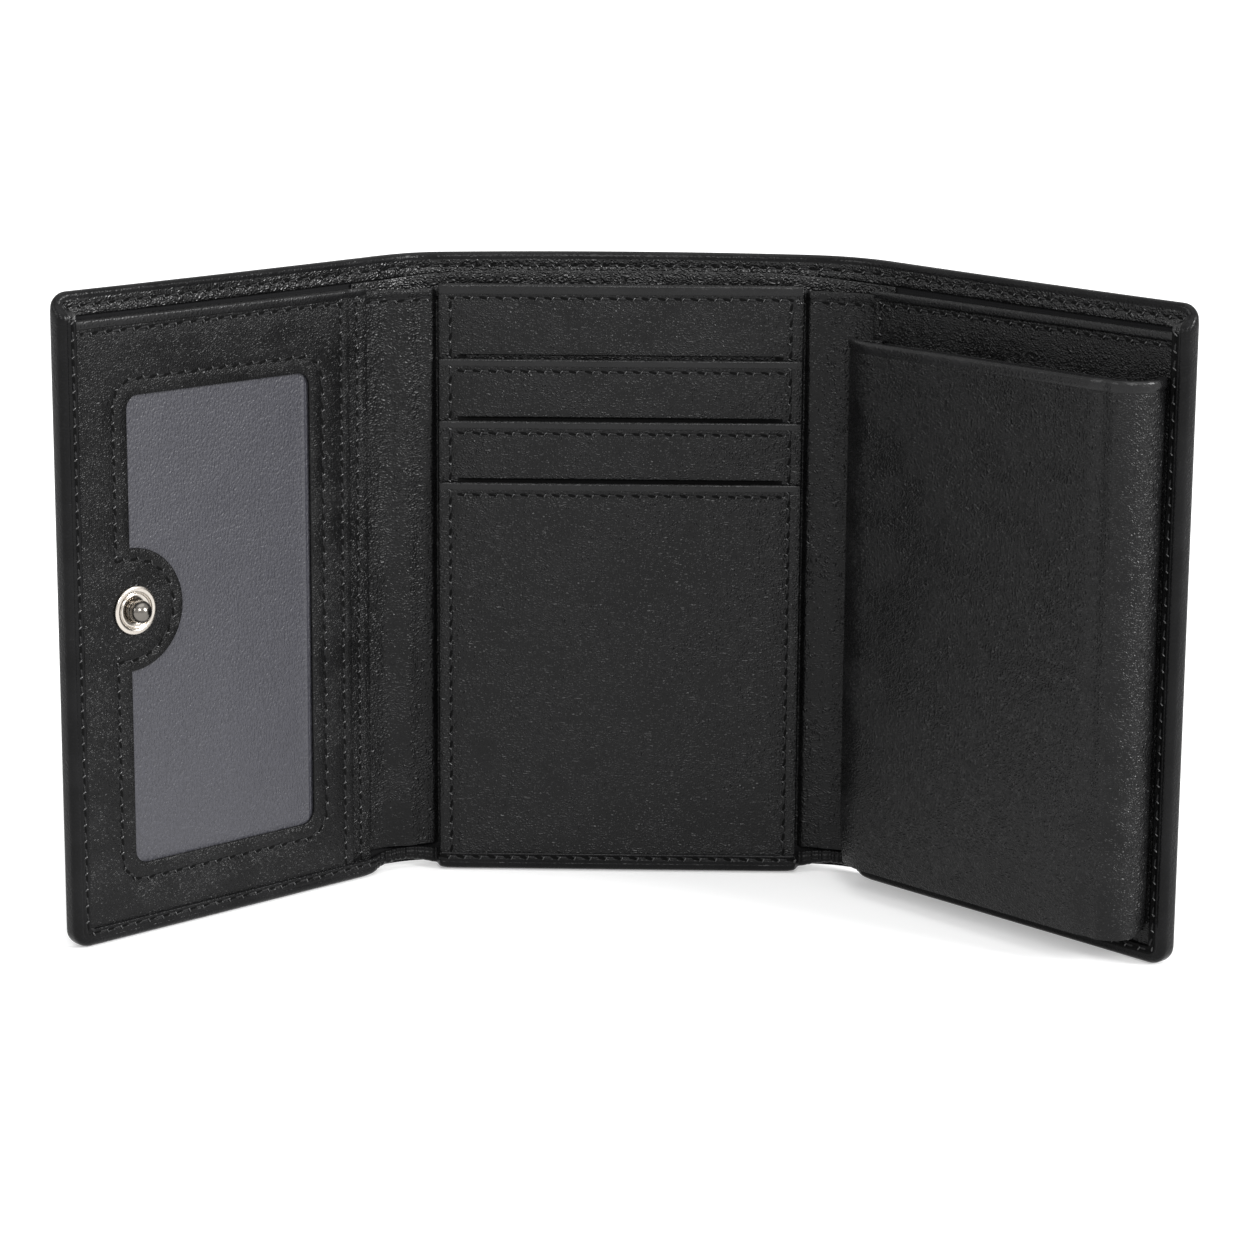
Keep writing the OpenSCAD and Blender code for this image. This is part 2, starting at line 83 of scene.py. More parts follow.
class WalletSizes(bpy.types.PropertyGroup):
    stitch: length("Stitch length", "Distance from one needle hole to the next", 2.65)
    thread: length("Thread width", "Width of one stitch", 0.42)
    groove: length("Seam depth", "How far the thread pulls the leather in", 0.13)
    bow: length("Centre bow", "How far the shell bows back behind the card pockets", 2.1)
    left_gape: length("Left gape", "How far the shell stands off behind the left fold", 1.8)
    right_gape: length("Right gape", "How far the shell stands off behind the right fold", 2.5)
    fold_lift: length("Fold lift", "How far the turned edge rises off the floor at a fold", 1.3)
    mouth_bow: length("Pocket bow", "How far a card pocket's mouth stands forward", 0.35)
    grain: length("Leather grain", "Size of one grain of the leather", 0.5)


class WalletColours(bpy.types.PropertyGroup):
    leather: colour("Leather", "Grained leather", (0.0054, 0.0054, 0.0056))
    edge: colour("Turned edges", "Smooth leather of the turned edges", (0.0060, 0.0060, 0.0063))
    lining: colour("Lining", "Fabric of the linings", (0.0045, 0.0045, 0.005))
    film: colour("Window film", "Frosted film of the window", (0.031, 0.031, 0.038))
    nickel: colour("Nickel", "Metal of the snap", (0.56, 0.52, 0.47))
    thread: colour("Thread", "Sewing thread", (0.003, 0.003, 0.0033))
    board: colour("Board", "Stiffener board", (0.12, 0.115, 0.105))
    # painted shade: near-black colour standing for the shade in stitch holes and card pockets' mouths
    hole: colour("Needle holes", "Unlit leather in a needle hole", (0.0016, 0.0016, 0.0016))


def sizes():
    return bpy.context.scene.wallet_sizes


def colours():
    return bpy.context.scene.wallet_colours


def in_mm(name):
    return getattr(sizes(), name) / MM


# ---- shaders ----

# Places of the colour sockets on a Mix node.
MIX_FIRST, MIX_SECOND, MIX_RESULT = 6, 7, 2
WHITE = (1, 1, 1, 1)


def math_node(operation, swapped=False):
    """A method of Value that adds a Math node."""

    def method(self, other):
        first, second = (other, self) if swapped else (self, other)
        return self.shader.add("ShaderNodeMath", {"operation": operation}, {0: first, 1: second})["Value"]

    return method


class Value:
    """One output of a shader node. Sums on values add their Math nodes."""

    def __init__(self, shader, socket):
        self.shader = shader
        self.socket = socket

    __add__, __radd__ = math_node("ADD"), math_node("ADD", swapped=True)
    __sub__, __rsub__ = math_node("SUBTRACT"), math_node("SUBTRACT", swapped=True)
    __mul__, __rmul__ = math_node("MULTIPLY"), math_node("MULTIPLY", swapped=True)
    __pow__ = math_node("POWER")
    at_least = math_node("MAXIMUM")

    def between(self, low, high):
        """0 below low, 1 above high, and smooth in between."""
        settings = {"interpolation_type": "SMOOTHSTEP"}
        inputs = {"Value": self, "From Min": low, "From Max": high}
        return self.shader.add("ShaderNodeMapRange", settings, inputs)["Result"]


class Outputs:
    """A shader node's outputs, by name."""

    def __init__(self, shader, node):
        self.shader = shader
        self.node = node

    def __getitem__(self, name):
        return Value(self.shader, self.node.outputs[name])


class Shader:
    """A node tree under construction, of a material or of the world."""

    def __init__(self, owner):
        owner.use_nodes = True
        self.owner = owner
        self.tree = owner.node_tree
        self.tree.nodes.clear()

    def add(self, kind, settings=None, inputs=None):
        """Adds a node with these settings. Its inputs are numbers or the values of other nodes."""
        node = self.tree.nodes.new(kind)
        for name, value in (settings or {}).items():
            setattr(node, name, value)
        for name, value in (inputs or {}).items():
            if isinstance(value, Value):
                self.tree.links.new(value.socket, node.inputs[name])
            else:
                node.inputs[name].default_value = value
        return Outputs(self, node)

    def place(self, stretch=(1, 1, 1)):
        """Place on the object in millimetres, stretched along its axes."""
        at = self.add("ShaderNodeTexCoord")["Object"]
        scale = tuple(s / MM for s in stretch)
        return self.add("ShaderNodeVectorMath", {"operation": "MULTIPLY"}, {0: at, 1: scale})["Vector"]

    def noise(self, at, size, detail=3.0, roughness=0.5):
        """Cloudy noise whose patches are about size millimetres wide."""
        inputs = {"Vector": at, "Scale": 1 / size, "Detail": detail, "Roughness": roughness}
        return self.add("ShaderNodeTexNoise", None, inputs)["Fac"]

    def mix(self, share, first, second):
        """Colour between first and second."""
        inputs = {"Factor": share, MIX_FIRST: (*first, 1), MIX_SECOND: (*second, 1)}
        node = self.add("ShaderNodeMix", {"data_type": "RGBA"}, inputs).node
        return Value(self, node.outputs[MIX_RESULT])

    def finish(self, surface, bump, bump_mm, bump_strength=1.0):
        """Adds the surface with its bump and returns the finished material."""
        inputs = {"Height": bump, "Distance": bump_mm * MM, "Strength": bump_strength}
        surface["Normal"] = self.add("ShaderNodeBump", None, inputs)["Normal"]
        shader = self.add("ShaderNodeBsdfPrincipled", None, surface)["BSDF"]
        self.add("ShaderNodeOutputMaterial", None, {"Surface": shader})
        return self.owner


def tone(rgb, factor):
    """The colour, this much lighter or darker."""
    return tuple(min(1.0, c * factor) for c in rgb)


def new_shader(name):
    return Shader(bpy.data.materials.new(name))


def leather(name, rgb, grain, depth, rough, shine=0.17, creases=0.0):
    """Grained leather: soft pebbles, fine wavy wrinkles between them and slow unevenness.
    grain is a multiple of the user's grain, and depth is the bump's in millimetres."""
    grain = grain * in_mm("grain")
    s = new_shader(name)
    at = s.place((0.88, 0.88, 1.12))
    slow = {"Vector": at, "Scale": 1 / (grain * 5.0), "Detail": 2.0}
    drift = s.add("ShaderNodeTexNoise", None, slow)["Color"]
    shift = {0: drift, 1: (grain * 1.6,) * 3, 2: at}
    warped = s.add("ShaderNodeVectorMath", {"operation": "MULTIPLY_ADD"}, shift)["Vector"]
    cells = {"Vector": warped, "Scale": 1 / grain, "Smoothness": 1.0, "Randomness": 1.0}
    pebble = 1 - s.add("ShaderNodeTexVoronoi", {"feature": "SMOOTH_F1"}, cells)["Distance"]
    # wrinkles run where the noise passes through its middle, and the small sum rounds their valleys
    wave = s.noise(warped, grain * 0.8, 0.0) - 0.5
    ridge = (wave * wave + 0.0006) ** 0.5 * 3.4
    patch = s.noise(at, 8.0, 2.0).between(0.35, 0.65)
    soft = s.noise(at, 3.4, 1.0)
    height = (pebble * 0.6 + ridge) * (0.6 + patch * 0.4) + soft * 0.6
    if creases:
        height = height + s.noise(s.place((1.0, 1.0, 0.14)), 3.2, 1.0) * creases
    base = s.mix(ridge * 0.5 + patch * 0.5, tone(rgb, 0.6), tone(rgb, 1.3))
    roughness = rough + 0.1 * (1 - ridge) + 0.06 * patch
    surface = {"Base Color": base, "Roughness": roughness, "Specular IOR Level": shine}
    return s.finish(surface, height, depth)


def lining_fabric(name, rgb):
    """Fine plain weave."""
    s = new_shader(name)
    at = s.place()
    weave = {"Vector": at, "Scale": 0.9, "Distortion": 0.4}
    warp = s.add("ShaderNodeTexWave", {"bands_direction": "X"}, weave)["Fac"]
    weft = s.add("ShaderNodeTexWave", {"bands_direction": "Z"}, weave)["Fac"]
    threads = warp * 0.5 + weft * 0.5
    patch = s.noise(at, 6.0)
    base = s.mix(threads * 0.7 + patch * 0.3, tone(rgb, 0.6), tone(rgb, 1.5))
    surface = {"Base Color": base, "Roughness": 0.78 + 0.12 * patch, "Specular IOR Level": 0.15}
    surface["Sheen Weight"] = 0.05
    return s.finish(surface, threads, 0.05, 0.6)


def frosted_film(name, rgb):
    """Cloudy plastic film with a satin surface."""
    s = new_shader(name)
    cloud = s.noise(s.place(), 14.0, 2.0)
    frost = s.noise(s.place((1, 1, 0.7)), 0.32, 1.0)
    base = s.mix(cloud * 0.3 + frost.between(0.3, 0.7) * 0.7, tone(rgb, 0.78), tone(rgb, 1.22))
    surface = {"Base Color": base, "Roughness": 0.34 + 0.14 * frost, "Specular IOR Level": 0.5}
    return s.finish(surface, frost + cloud * 2.5, 0.13)


def polished_nickel(name, rgb):
    """Polished nickel with faint handling marks."""
    s = new_shader(name)
    marks = s.noise(s.place((1, 1, 0.25)), 0.35, 4.0, 0.7)
    dull = s.noise(s.place(), 2.5, 2.0)
    base = s.mix(dull, tone(rgb, 0.9), tone(rgb, 1.06))
    surface = {"Base Color": base, "Metallic": 1.0, "Roughness": 0.13 + 0.1 * marks + 0.06 * dull}
    return s.finish(surface, marks, 0.006, 0.4)


def sewing_thread(name, rgb):
    """Twisted waxed thread."""
    s = new_shader(name)
    inputs = {"Vector": s.place(), "Scale": 1.4, "Distortion": 1.0}
    twist = s.add("ShaderNodeTexWave", {"bands_direction": "DIAGONAL"}, inputs)["Fac"]
    base = s.mix(twist, tone(rgb, 0.6), tone(rgb, 1.6))
    surface = {"Base Color": base, "Roughness": 0.5 + 0.15 * twist, "Specular IOR Level": 0.25}
    return s.finish(surface, twist, 0.05, 0.6)


def stiff_board(name, rgb):
    """Pressed fibre board."""
    s = new_shader(name)
    fibre = s.noise(s.place((1, 1, 0.3)), 0.5, 4.0, 0.7)
    base = s.mix(fibre, tone(rgb, 0.8), tone(rgb, 1.2))
    return s.finish({"Base Color": base, "Roughness": 0.85 + 0.1 * fibre}, fibre, 0.04, 0.5)


def paint_hole_shade(name, rgb):
    """Painted shade: near-black colour standing for the shade inside a stitch hole or a pocket's mouth."""
    s = new_shader(name)
    pit = s.noise(s.place(), 0.2)
    base = s.mix(pit, tone(rgb, 0.5), tone(rgb, 1.5))
    surface = {"Base Color": base, "Roughness": 0.9 + 0.05 * pit, "Specular IOR Level": 0.1}
    return s.finish(surface, pit, 0.02, 0.5)


# Each finish: its maker, the user's colour, how much lighter it is, and the maker's settings.
FINISHES = {
    "grained leather": (leather, "leather", 1, {"grain": 1, "depth": 0.12, "rough": 0.19}),
    "fine leather": (leather, "leather", 1, {"grain": 0.85, "depth": 0.07, "rough": 0.21, "shine": 0.14}),
    "shell leather": (leather, "leather", 1, {"grain": 1.2, "depth": 0.13, "rough": 0.2, "shine": 0.3}),
    "fold leather": (
        leather, "leather", 1, {"grain": 1.2, "depth": 0.13, "rough": 0.22, "shine": 0.15, "creases": 1.6},
    ),
    "smooth leather": (leather, "edge", 1, {"grain": 1.2, "depth": 0.035, "rough": 0.2, "shine": 0.24}),
    "edge leather": (leather, "edge", 1, {"grain": 1.2, "depth": 0.035, "rough": 0.16, "shine": 0.1}),
    # painted shade: darker, duller leather for the turned edge beside the coin pocket, where shade falls
    "dull leather": (leather, "edge", 0.4, {"grain": 1, "depth": 0.05, "rough": 0.4, "shine": 0.05}),
    # lips of leather pulled up by the thread: their rise and shine are real, their lighter colour is a
    # painted highlight
    "pulled leather": (leather, "edge", 1.5, {"grain": 1, "depth": 0.02, "rough": 0.14, "shine": 0.6}),
    "lining fabric": (lining_fabric, "lining", 1, {}),
    "frosted film": (frosted_film, "film", 1, {}),
    "polished nickel": (polished_nickel, "nickel", 1, {}),
    # painted reflection: nickel darkened to stand for the dark surroundings the ball reflects
    "smoked nickel": (polished_nickel, "nickel", 0.3, {}),
    "sewing thread": (sewing_thread, "thread", 1, {}),
    "stiffener board": (stiff_board, "board", 1, {}),
    "needle hole": (paint_hole_shade, "hole", 1, {}),
}


def finish_of(name):
    """The finish of this name, made when it is first asked for."""
    made = bpy.data.materials.get(name)
    if made:
        return made
    maker, colour_name, factor, settings = FINISHES[name]
    return maker(name, tone(getattr(colours(), colour_name), factor), **settings)


# ---- the frame's panels, in millimetres ----


def node_points(name):
    """A node's points in millimetres."""
    mesh = NODES[name].data
    flat = np.empty(len(mesh.vertices) * 3)
    mesh.vertices.foreach_get("co", flat)
    return flat.reshape(-1, 3) / MM


def stacked(x, y, z):
    """Points from their three parts, which may be arrays or single numbers."""
    return np.stack(np.broadcast_arrays(x, y, z), axis=-1).astype(float)


def smooth(t):
    """0 up to t = 0, 1 from t = 1 on, and an even rise in between."""
    t = np.clip(t, 0, 1)
    return t * t * (3 - 2 * t)


def level(u, z):
    """Relief of a flat front."""
    return 0.0 * u


def dip(x, middle, width):
    """1 at the middle and almost 0 from two widths away on."""
    return np.exp(-(((x - middle) / width) ** 2))


def middle_of(low, high):
    """Middle of a box in u and z."""
    return (low[0] + high[0]) / 2, (low[2] + high[2]) / 2


class Panel:
    """A standing panel with its own directions: u along it, y back and z up."""

    def box(self, *names):
        """Lower and upper corner of these nodes."""
        points = np.concatenate([self.local(node_points(n)) for n in names])
        return points.min(axis=0), points.max(axis=0)

    def at_depth(self, front, relief=level):
        """Places u and z at a depth behind this front, with its relief."""
        return lambda u, z, depth: self.place(u, front + depth - relief(u, z), z)


class CentrePanel(Panel):
    """The middle panel: its u is x."""

    def local(self, points):
        return points

    def place(self, u, y, z):
        return stacked(u, y, z)


class SidePanel(Panel):
    """A side panel: u runs from its fold to its free edge, y back from the front of its turned edge."""

    def __init__(self, name):
        joint = next(j for j in frame["joints"] if j["name"] == f"{name}_fold")
        self.name = name
        self.side = -1 if name == "left" else 1
        self.axis = np.array(joint["pos_m"][:2]) / MM
        self.turn = math.radians(-joint["range_deg"][0])
        self.reach = self.rise = 0.0
        self.reach = self.local(node_points(f"{name}_shell"))[:, 0].min()
        self.rise = self.local(node_points(f"{name}_binding"))[:, 1].min()

    def local(self, points):
        x = (points[:, 0] - self.axis[0]) * self.side
        y = points[:, 1] - self.axis[1]
        c, s = math.cos(self.turn), math.sin(self.turn)
        return np.stack([x * c - y * s - self.reach, x * s + y * c - self.rise, points[:, 2]], axis=1)

    def plan(self, u, y):
        """Plan place with x counted outward on either side."""
        along, deep = self.reach + u, self.rise + y
        c, s = math.cos(self.turn), math.sin(self.turn)
        x = self.side * self.axis[0] + along * c + deep * s
        return x, self.axis[1] - along * s + deep * c

    def place(self, u, y, z):
        x, y = self.plan(u, y)
        return stacked(self.side * x, y, z)


CENTRE = CentrePanel()
LEFT = SidePanel("left")
RIGHT = SidePanel("right")
SHELL_H = CENTRE.box("left_shell")[1][2]  # height of the shell
INNER_H = CENTRE.box("centre_base")[1][2]  # height of the inner panels
HALF_W = CENTRE.box("centre_base")[1][0]  # half the width of the centre panel
LINING_FOOT_Y = CENTRE.box("centre_lining")[0][1]  # y of the lining's front at its foot
LEAN = (CENTRE.box("centre_lining")[1][1] - LINING_FOOT_Y) / SHELL_H  # how the centre of the shell leans back
FOLD_PLANE = CENTRE.box("centre_binding")[0][1]  # y of the front of the centre's turned edge
HEM_W = CENTRE.box("centre_binding")[1][2]  # width of the turned edge
LINING_Y = RIGHT.box("right_lining")[0][1]  # y of the lining's front on the right panel
# The next three are depths behind the lining's front.
BOARD_FRONT = RIGHT.box("right_board")[0][1] - LINING_Y
SHELL_FRONT = RIGHT.box("right_shell")[0][1] - LINING_Y
SHELL_BACK = RIGHT.box("right_shell")[1][1] - LINING_Y
FACING_T = LINING_Y - RIGHT.box("right_facing")[0][1]  # thickness of the facing
FACING_H = SHELL_H - RIGHT.box("right_facing")[0][2]  # height of the facing


def curve(p, start, q, end, t):
    """Point on a smooth curve from p to q that leaves along start and arrives along end."""
    t2, t3 = t * t, t * t * t
    leave = (2 * t3 - 3 * t2 + 1) * p + (t3 - 2 * t2 + t) * start
    return leave + (3 * t2 - 2 * t3) * q + (t3 - t2) * end


def off_line(at, t, step, depth):
    """Plan point of a course, moved off it by depth to the back."""
    x, y = at(t)
    x1, y1 = at(t + step)
    x0, y0 = at(t - step)
    run = np.hypot(x1 - x0, y1 - y0)
    return x - depth * (y1 - y0) / run, y + depth * (x1 - x0) / run


class HalfShell:
    """The shell from the middle of the centre panel over one fold to that side's free edge.
    a runs along the leather, n back from the front of the lining, z up."""

    FOLD_RUN = 11.0  # length of the leather in a fold
    TUCK = 1.2  # how far the fold's inner leather reaches under each neighbour
    STEP = 0.05  # distance over which a slope is taken

    def __init__(self, panel):
        self.name = name = panel.name
        self.panel = panel
        self.side = panel.side
        self.width = panel.box(f"{name}_shell")[1][0]
        self.lining_y = panel.box(f"{name}_lining")[0][1]
        self.base_y = panel.box(f"{name}_base")[0][1]
        self.fold_end = HALF_W + self.FOLD_RUN
        self.length = self.fold_end + self.width

    def panel_y(self, u, z):
        """The lining's front on the side panel, which gapes towards the fold and the top."""
        gape = in_mm(f"{self.name}_gape")
        rest = np.clip(1 - u / self.width, 0, 1.2)
        return self.lining_y + gape * rest**1.7 * np.clip(z / SHELL_H, 0, 1) ** 1.6

    def centre_y(self, x, z):
        """The lining's front on the centre panel, which bows back towards the middle and the top."""
        bow = in_mm("bow") * (1 - (x / HALF_W) ** 2) * np.clip(z / SHELL_H, 0, 1) ** 1.4
        return LINING_FOOT_Y + z * LEAN + bow

    def front(self, a, z):
        """Plan place of the lining's front, x counted outward."""
        u = a - self.fold_end
        panel_x, panel_y = self.panel.plan(u, self.panel_y(u, z))
        step = self.STEP
        slope = (self.centre_y(HALF_W, z) - self.centre_y(HALF_W - step, z)) / step
        start = (HALF_W + 0 * z, self.centre_y(HALF_W, z))
        end = self.panel.plan(0 * z, self.panel_y(0 * z, z))
        after = self.panel.plan(0 * z + step, self.panel_y(0 * z + step, z))
        t = np.clip((a - HALF_W) / self.FOLD_RUN, 0, 1)
        chord = np.hypot(end[0] - start[0], end[1] - start[1]) * 1.08
        fold_x = curve(start[0], chord, end[0], chord * (after[0] - end[0]) / step, t)
        fold_y = curve(start[1], chord * slope, end[1], chord * (after[1] - end[1]) / step, t)
        x = np.where(a < HALF_W, a, np.where(u > 0, panel_x, fold_x))
        y = np.where(a < HALF_W, self.centre_y(np.minimum(a, HALF_W), z), np.where(u > 0, panel_y, fold_y))
        return x, y

    def point(self, a, n, z):
        a, n, z = np.broadcast_arrays(np.asarray(a, float), n, z)
        x, y = off_line(lambda a: self.front(a, z), a, self.STEP, n)
        return stacked(self.side * x, y, z)

    def in_fold(self, a, margin=0.0):
        """1 in the middle of the fold and 0 on the flat panels."""
        t = (a - HALF_W + margin) / (self.FOLD_RUN + 2 * margin)
        return np.where((t > 0) & (t < 1), np.sin(np.pi * np.clip(t, 0, 1)), 0.0)

    def foot_lift(self, a, z):
        """How far the foot of a fold stands off the floor."""
        return in_mm("fold_lift") * self.in_fold(a, 1.6) ** 1.5 * np.clip(1 - z / HEM_W, 0, 1)

    def inner(self, a, d, z):
        """Inner leather of the fold, from under the card pockets to under the side panel's edge."""
        a, d, z = np.broadcast_arrays(np.asarray(a, float), d, z)
        start = np.array([HALF_W - self.TUCK, CENTRE.box("centre_base")[0][1]])
        end = np.array(self.panel.plan(1.0, self.base_y + 0.45))
        c, s = math.cos(self.panel.turn), math.sin(self.panel.turn)
        run = np.hypot(*(end - start)) * 1.1

        def at(t):
            x = curve(start[0], run, end[0], run * c, t)
            return x, curve(start[1], run * 0.12, end[1], -run * s, t)

        t = (a - HALF_W + self.TUCK) / (self.FOLD_RUN + 2.2)
        x, y = off_line(at, t, 0.004, d)
        return stacked(self.side * x, y, z)

    def blend_ends(self):
        """The fold's two ends in metres, about halfway up."""
        height = 50 * MM
        x, y = self.panel.plan(0.0, 0.0)
        return (self.side * HALF_W * MM, 0.0, height), (self.side * x * MM, y * MM, height)


# ---- mesh making ----


def link(name, data):
    """Adds an object with this data to the scene."""
    made = bpy.data.objects.new(name, data)
    bpy.context.scene.collection.objects.link(made)
    return made


def new_piece(name, points, faces, finishes, indices=None):
    """Makes a smooth piece from points in millimetres. indices say which finish each face has."""
    mesh = bpy.data.meshes.new(name)
    mesh.from_pydata((np.asarray(points) * MM).tolist(), [], faces)
    for finish in finishes:
        mesh.materials.append(finish_of(finish))
    if indices is not None:
        mesh.polygons.foreach_set("material_index", indices)
    mesh.shade_smooth()
    return link(name, mesh)


def edit(piece, work):
    """Lets work change the piece's mesh, and keeps it smooth."""
    bm = bmesh.new()
    bm.from_mesh(piece.data)
    work(bm)
    bm.to_mesh(piece.data)
    bm.free()
    piece.data.update()
    piece.data.shade_smooth()


JOIN = 1e-6  # points nearer to each other than this, in metres, become one


def sew_up(bm):
    """Joins points that lie together and turns all faces outward."""
    bmesh.ops.remove_doubles(bm, verts=bm.verts, dist=JOIN)
    bmesh.ops.recalc_face_normals(bm, faces=bm.faces)


def grid_faces(rows, columns):
    """Faces between neighbouring rows of points."""
    return [
        (k, k + columns, k + columns + 1, k + 1)
        for i in range(rows - 1)
        for k in range(i * columns, (i + 1) * columns - 1)
    ]


def ring_faces(rings, count, closed=True):
    """Faces between neighbouring rings of points."""
    return [
        (first + k, first + (k + 1) % count, first + count + (k + 1) % count, first + count + k)
        for first in range(0, (rings - 1) * count, count)
        for k in range(count if closed else count - 1)
    ]


def turned_over(faces, first):
    """The same faces on points that start at first, seen from the other side."""
    return [tuple(first + k for k in reversed(f)) for f in faces]


SHARP = 0.9  # angle in radians from which an edge on a rim is rounded


def thick_sheet(name, front, back, finish, rim=0.15):
    """Closed sheet between two grids of points, with its rim rounded."""
    rows, columns = front.shape[:2]
    count = rows * columns
    points = np.concatenate([front.reshape(-1, 3), back.reshape(-1, 3)])
    faces = grid_faces(rows, columns)
    faces += turned_over(faces, count)
    border = [i * columns for i in range(rows)]
    border += [(rows - 1) * columns + j for j in range(1, columns)]
    border += [i * columns + columns - 1 for i in range(rows - 2, -1, -1)]
    border += list(range(columns - 2, 0, -1))
    faces += [(b, a, count + a, count + b) for a, b in zip(border, border[1:] + border[:1])]
    piece = new_piece(name, points, faces, [finish])
    marked = set(border)

    def round_rim(bm):
        bmesh.ops.recalc_face_normals(bm, faces=bm.faces)
        edges = []
        for edge in bm.edges:
            ends = {v.index for v in edge.verts}
            on_rim = ends <= marked or {k - count for k in ends} <= marked
            if on_rim and edge.calc_face_angle(0) > SHARP:
                edges.append(edge)
        bmesh.ops.bevel(
            bm, geom=edges, offset=rim * MM, segments=3, profile=0.5, affect="EDGES", clamp_overlap=True
        )

    edit(piece, round_rim)
    return piece


def with_margins(low, high, step):
    """Break points from low to high, about step apart, with extra ones near both ends."""
    inner = np.linspace(low + 1.0, high - 1.0, max(2, int((high - low) / step)))
    return np.array([low, low + 0.4, *inner, high - 0.4, high])


def grid(across, up):
    """Both parts of the points of a grid."""
    return np.meshgrid(across, up, indexing="ij")


def offset_line(line, distance, closed):
    """Moves a flat line to its left by distance."""
    line = np.asarray(line, float)
    if closed:
        before, after = np.roll(line, 1, axis=0), np.roll(line, -1, axis=0)
    else:
        before = np.vstack([2 * line[0] - line[1], line[:-1]])
        after = np.vstack([line[1:], 2 * line[-1] - line[-2]])
    into, out = line - before, after - line
    into /= np.linalg.norm(into, axis=1)[:, None]
    out /= np.linalg.norm(out, axis=1)[:, None]
    left = np.stack([-(into + out)[:, 1], (into + out)[:, 0]], axis=1)
    left /= np.linalg.norm(left, axis=1)[:, None]
    square = np.stack([-into[:, 1], into[:, 0]], axis=1)
    reach = np.clip(np.sum(left * square, axis=1), 0.5, 1)
    return line + left * (distance / reach)[:, None]


def resample(line, step, closed=False):
    """Adds points to a flat line so that none are further apart than step."""
    line = [np.asarray(p, float) for p in line]
    if closed:
        line.append(line[0])
    dense = []
    for p, q in zip(line, line[1:]):
        parts = max(1, math.ceil(np.linalg.norm(q - p) / step))
        dense += [p + (q - p) * k / parts for k in range(parts)]
    if not closed:
        dense.append(line[-1])
    return np.array(dense)


def seam_depth(points, seams, width=0.42):
    """How far each point lies in a seam's groove, from 0 to 1."""
    nearest = np.full(len(points), 1e9)
    for seam in seams:
        a, b = np.asarray(seam[:-1]), np.asarray(seam[1:])
        run = b - a
        t = np.einsum("pij,ij->pi", points[:, None] - a, run) / np.maximum(np.sum(run * run, axis=1), 1e-9)
        foot = a + np.clip(t, 0, 1)[..., None] * run
        nearest = np.minimum(nearest, np.linalg.norm(points[:, None] - foot, axis=2).min(axis=1))
    return np.exp(-((nearest / width) ** 2))


def inside(points, loops):
    """True for points inside the first loop and outside the others."""
    result = np.zeros(len(points), bool)
    for loop in loops:
        x, y = points[:, 0:1], points[:, 1:2]
        x0, y0 = loop[:, 0], loop[:, 1]
        x1, y1 = np.roll(x0, -1), np.roll(y0, -1)
        crosses = (y0 > y) != (y1 > y)
        at = x0 + (y - y0) * (x1 - x0) / np.where(y1 == y0, 1e-9, y1 - y0)
        result ^= (np.sum(crosses & (x < at), axis=1) % 2) == 1
    return result


def triangles(loops, lines, extra):
    """Fills the loops with triangles that keep the lines.
    Gives the points, the faces and each loop's places among the points."""
    points, edges, starts = [], [], []
    for loop in loops:
        first = len(points)
        starts.append((first, len(loop)))
        points += list(loop)
        edges += [(first + k, first + (k + 1) % len(loop)) for k in range(len(loop))]
    for line in lines:
        first = len(points)
        points += list(line)
        edges += [(first + k, first + k + 1) for k in range(len(line) - 1)]
    points += list(extra)
    made, _, faces, origin, _, _ = delaunay_2d_cdt([Vector(p) for p in points], edges, [], 0, 1e-4)
    made = np.array([tuple(p) for p in made])
    middles = np.array([made[list(f)].mean(axis=0) for f in faces])
    keep = inside(middles, loops)
    where = {source: k for k, sources in enumerate(origin) for source in sources}
    rings = [[where[first + k] for k in range(count)] for first, count in starts]
    return made, [tuple(f) for f, k in zip(faces, keep) if k], rings


BESIDE_SEAM = (-0.7, -0.3, 0, 0.3, 0.7)  # mesh lines along a seam's groove
HALFWAY = 0.29  # share of a rounded edge's size that is left at the middle of its bend


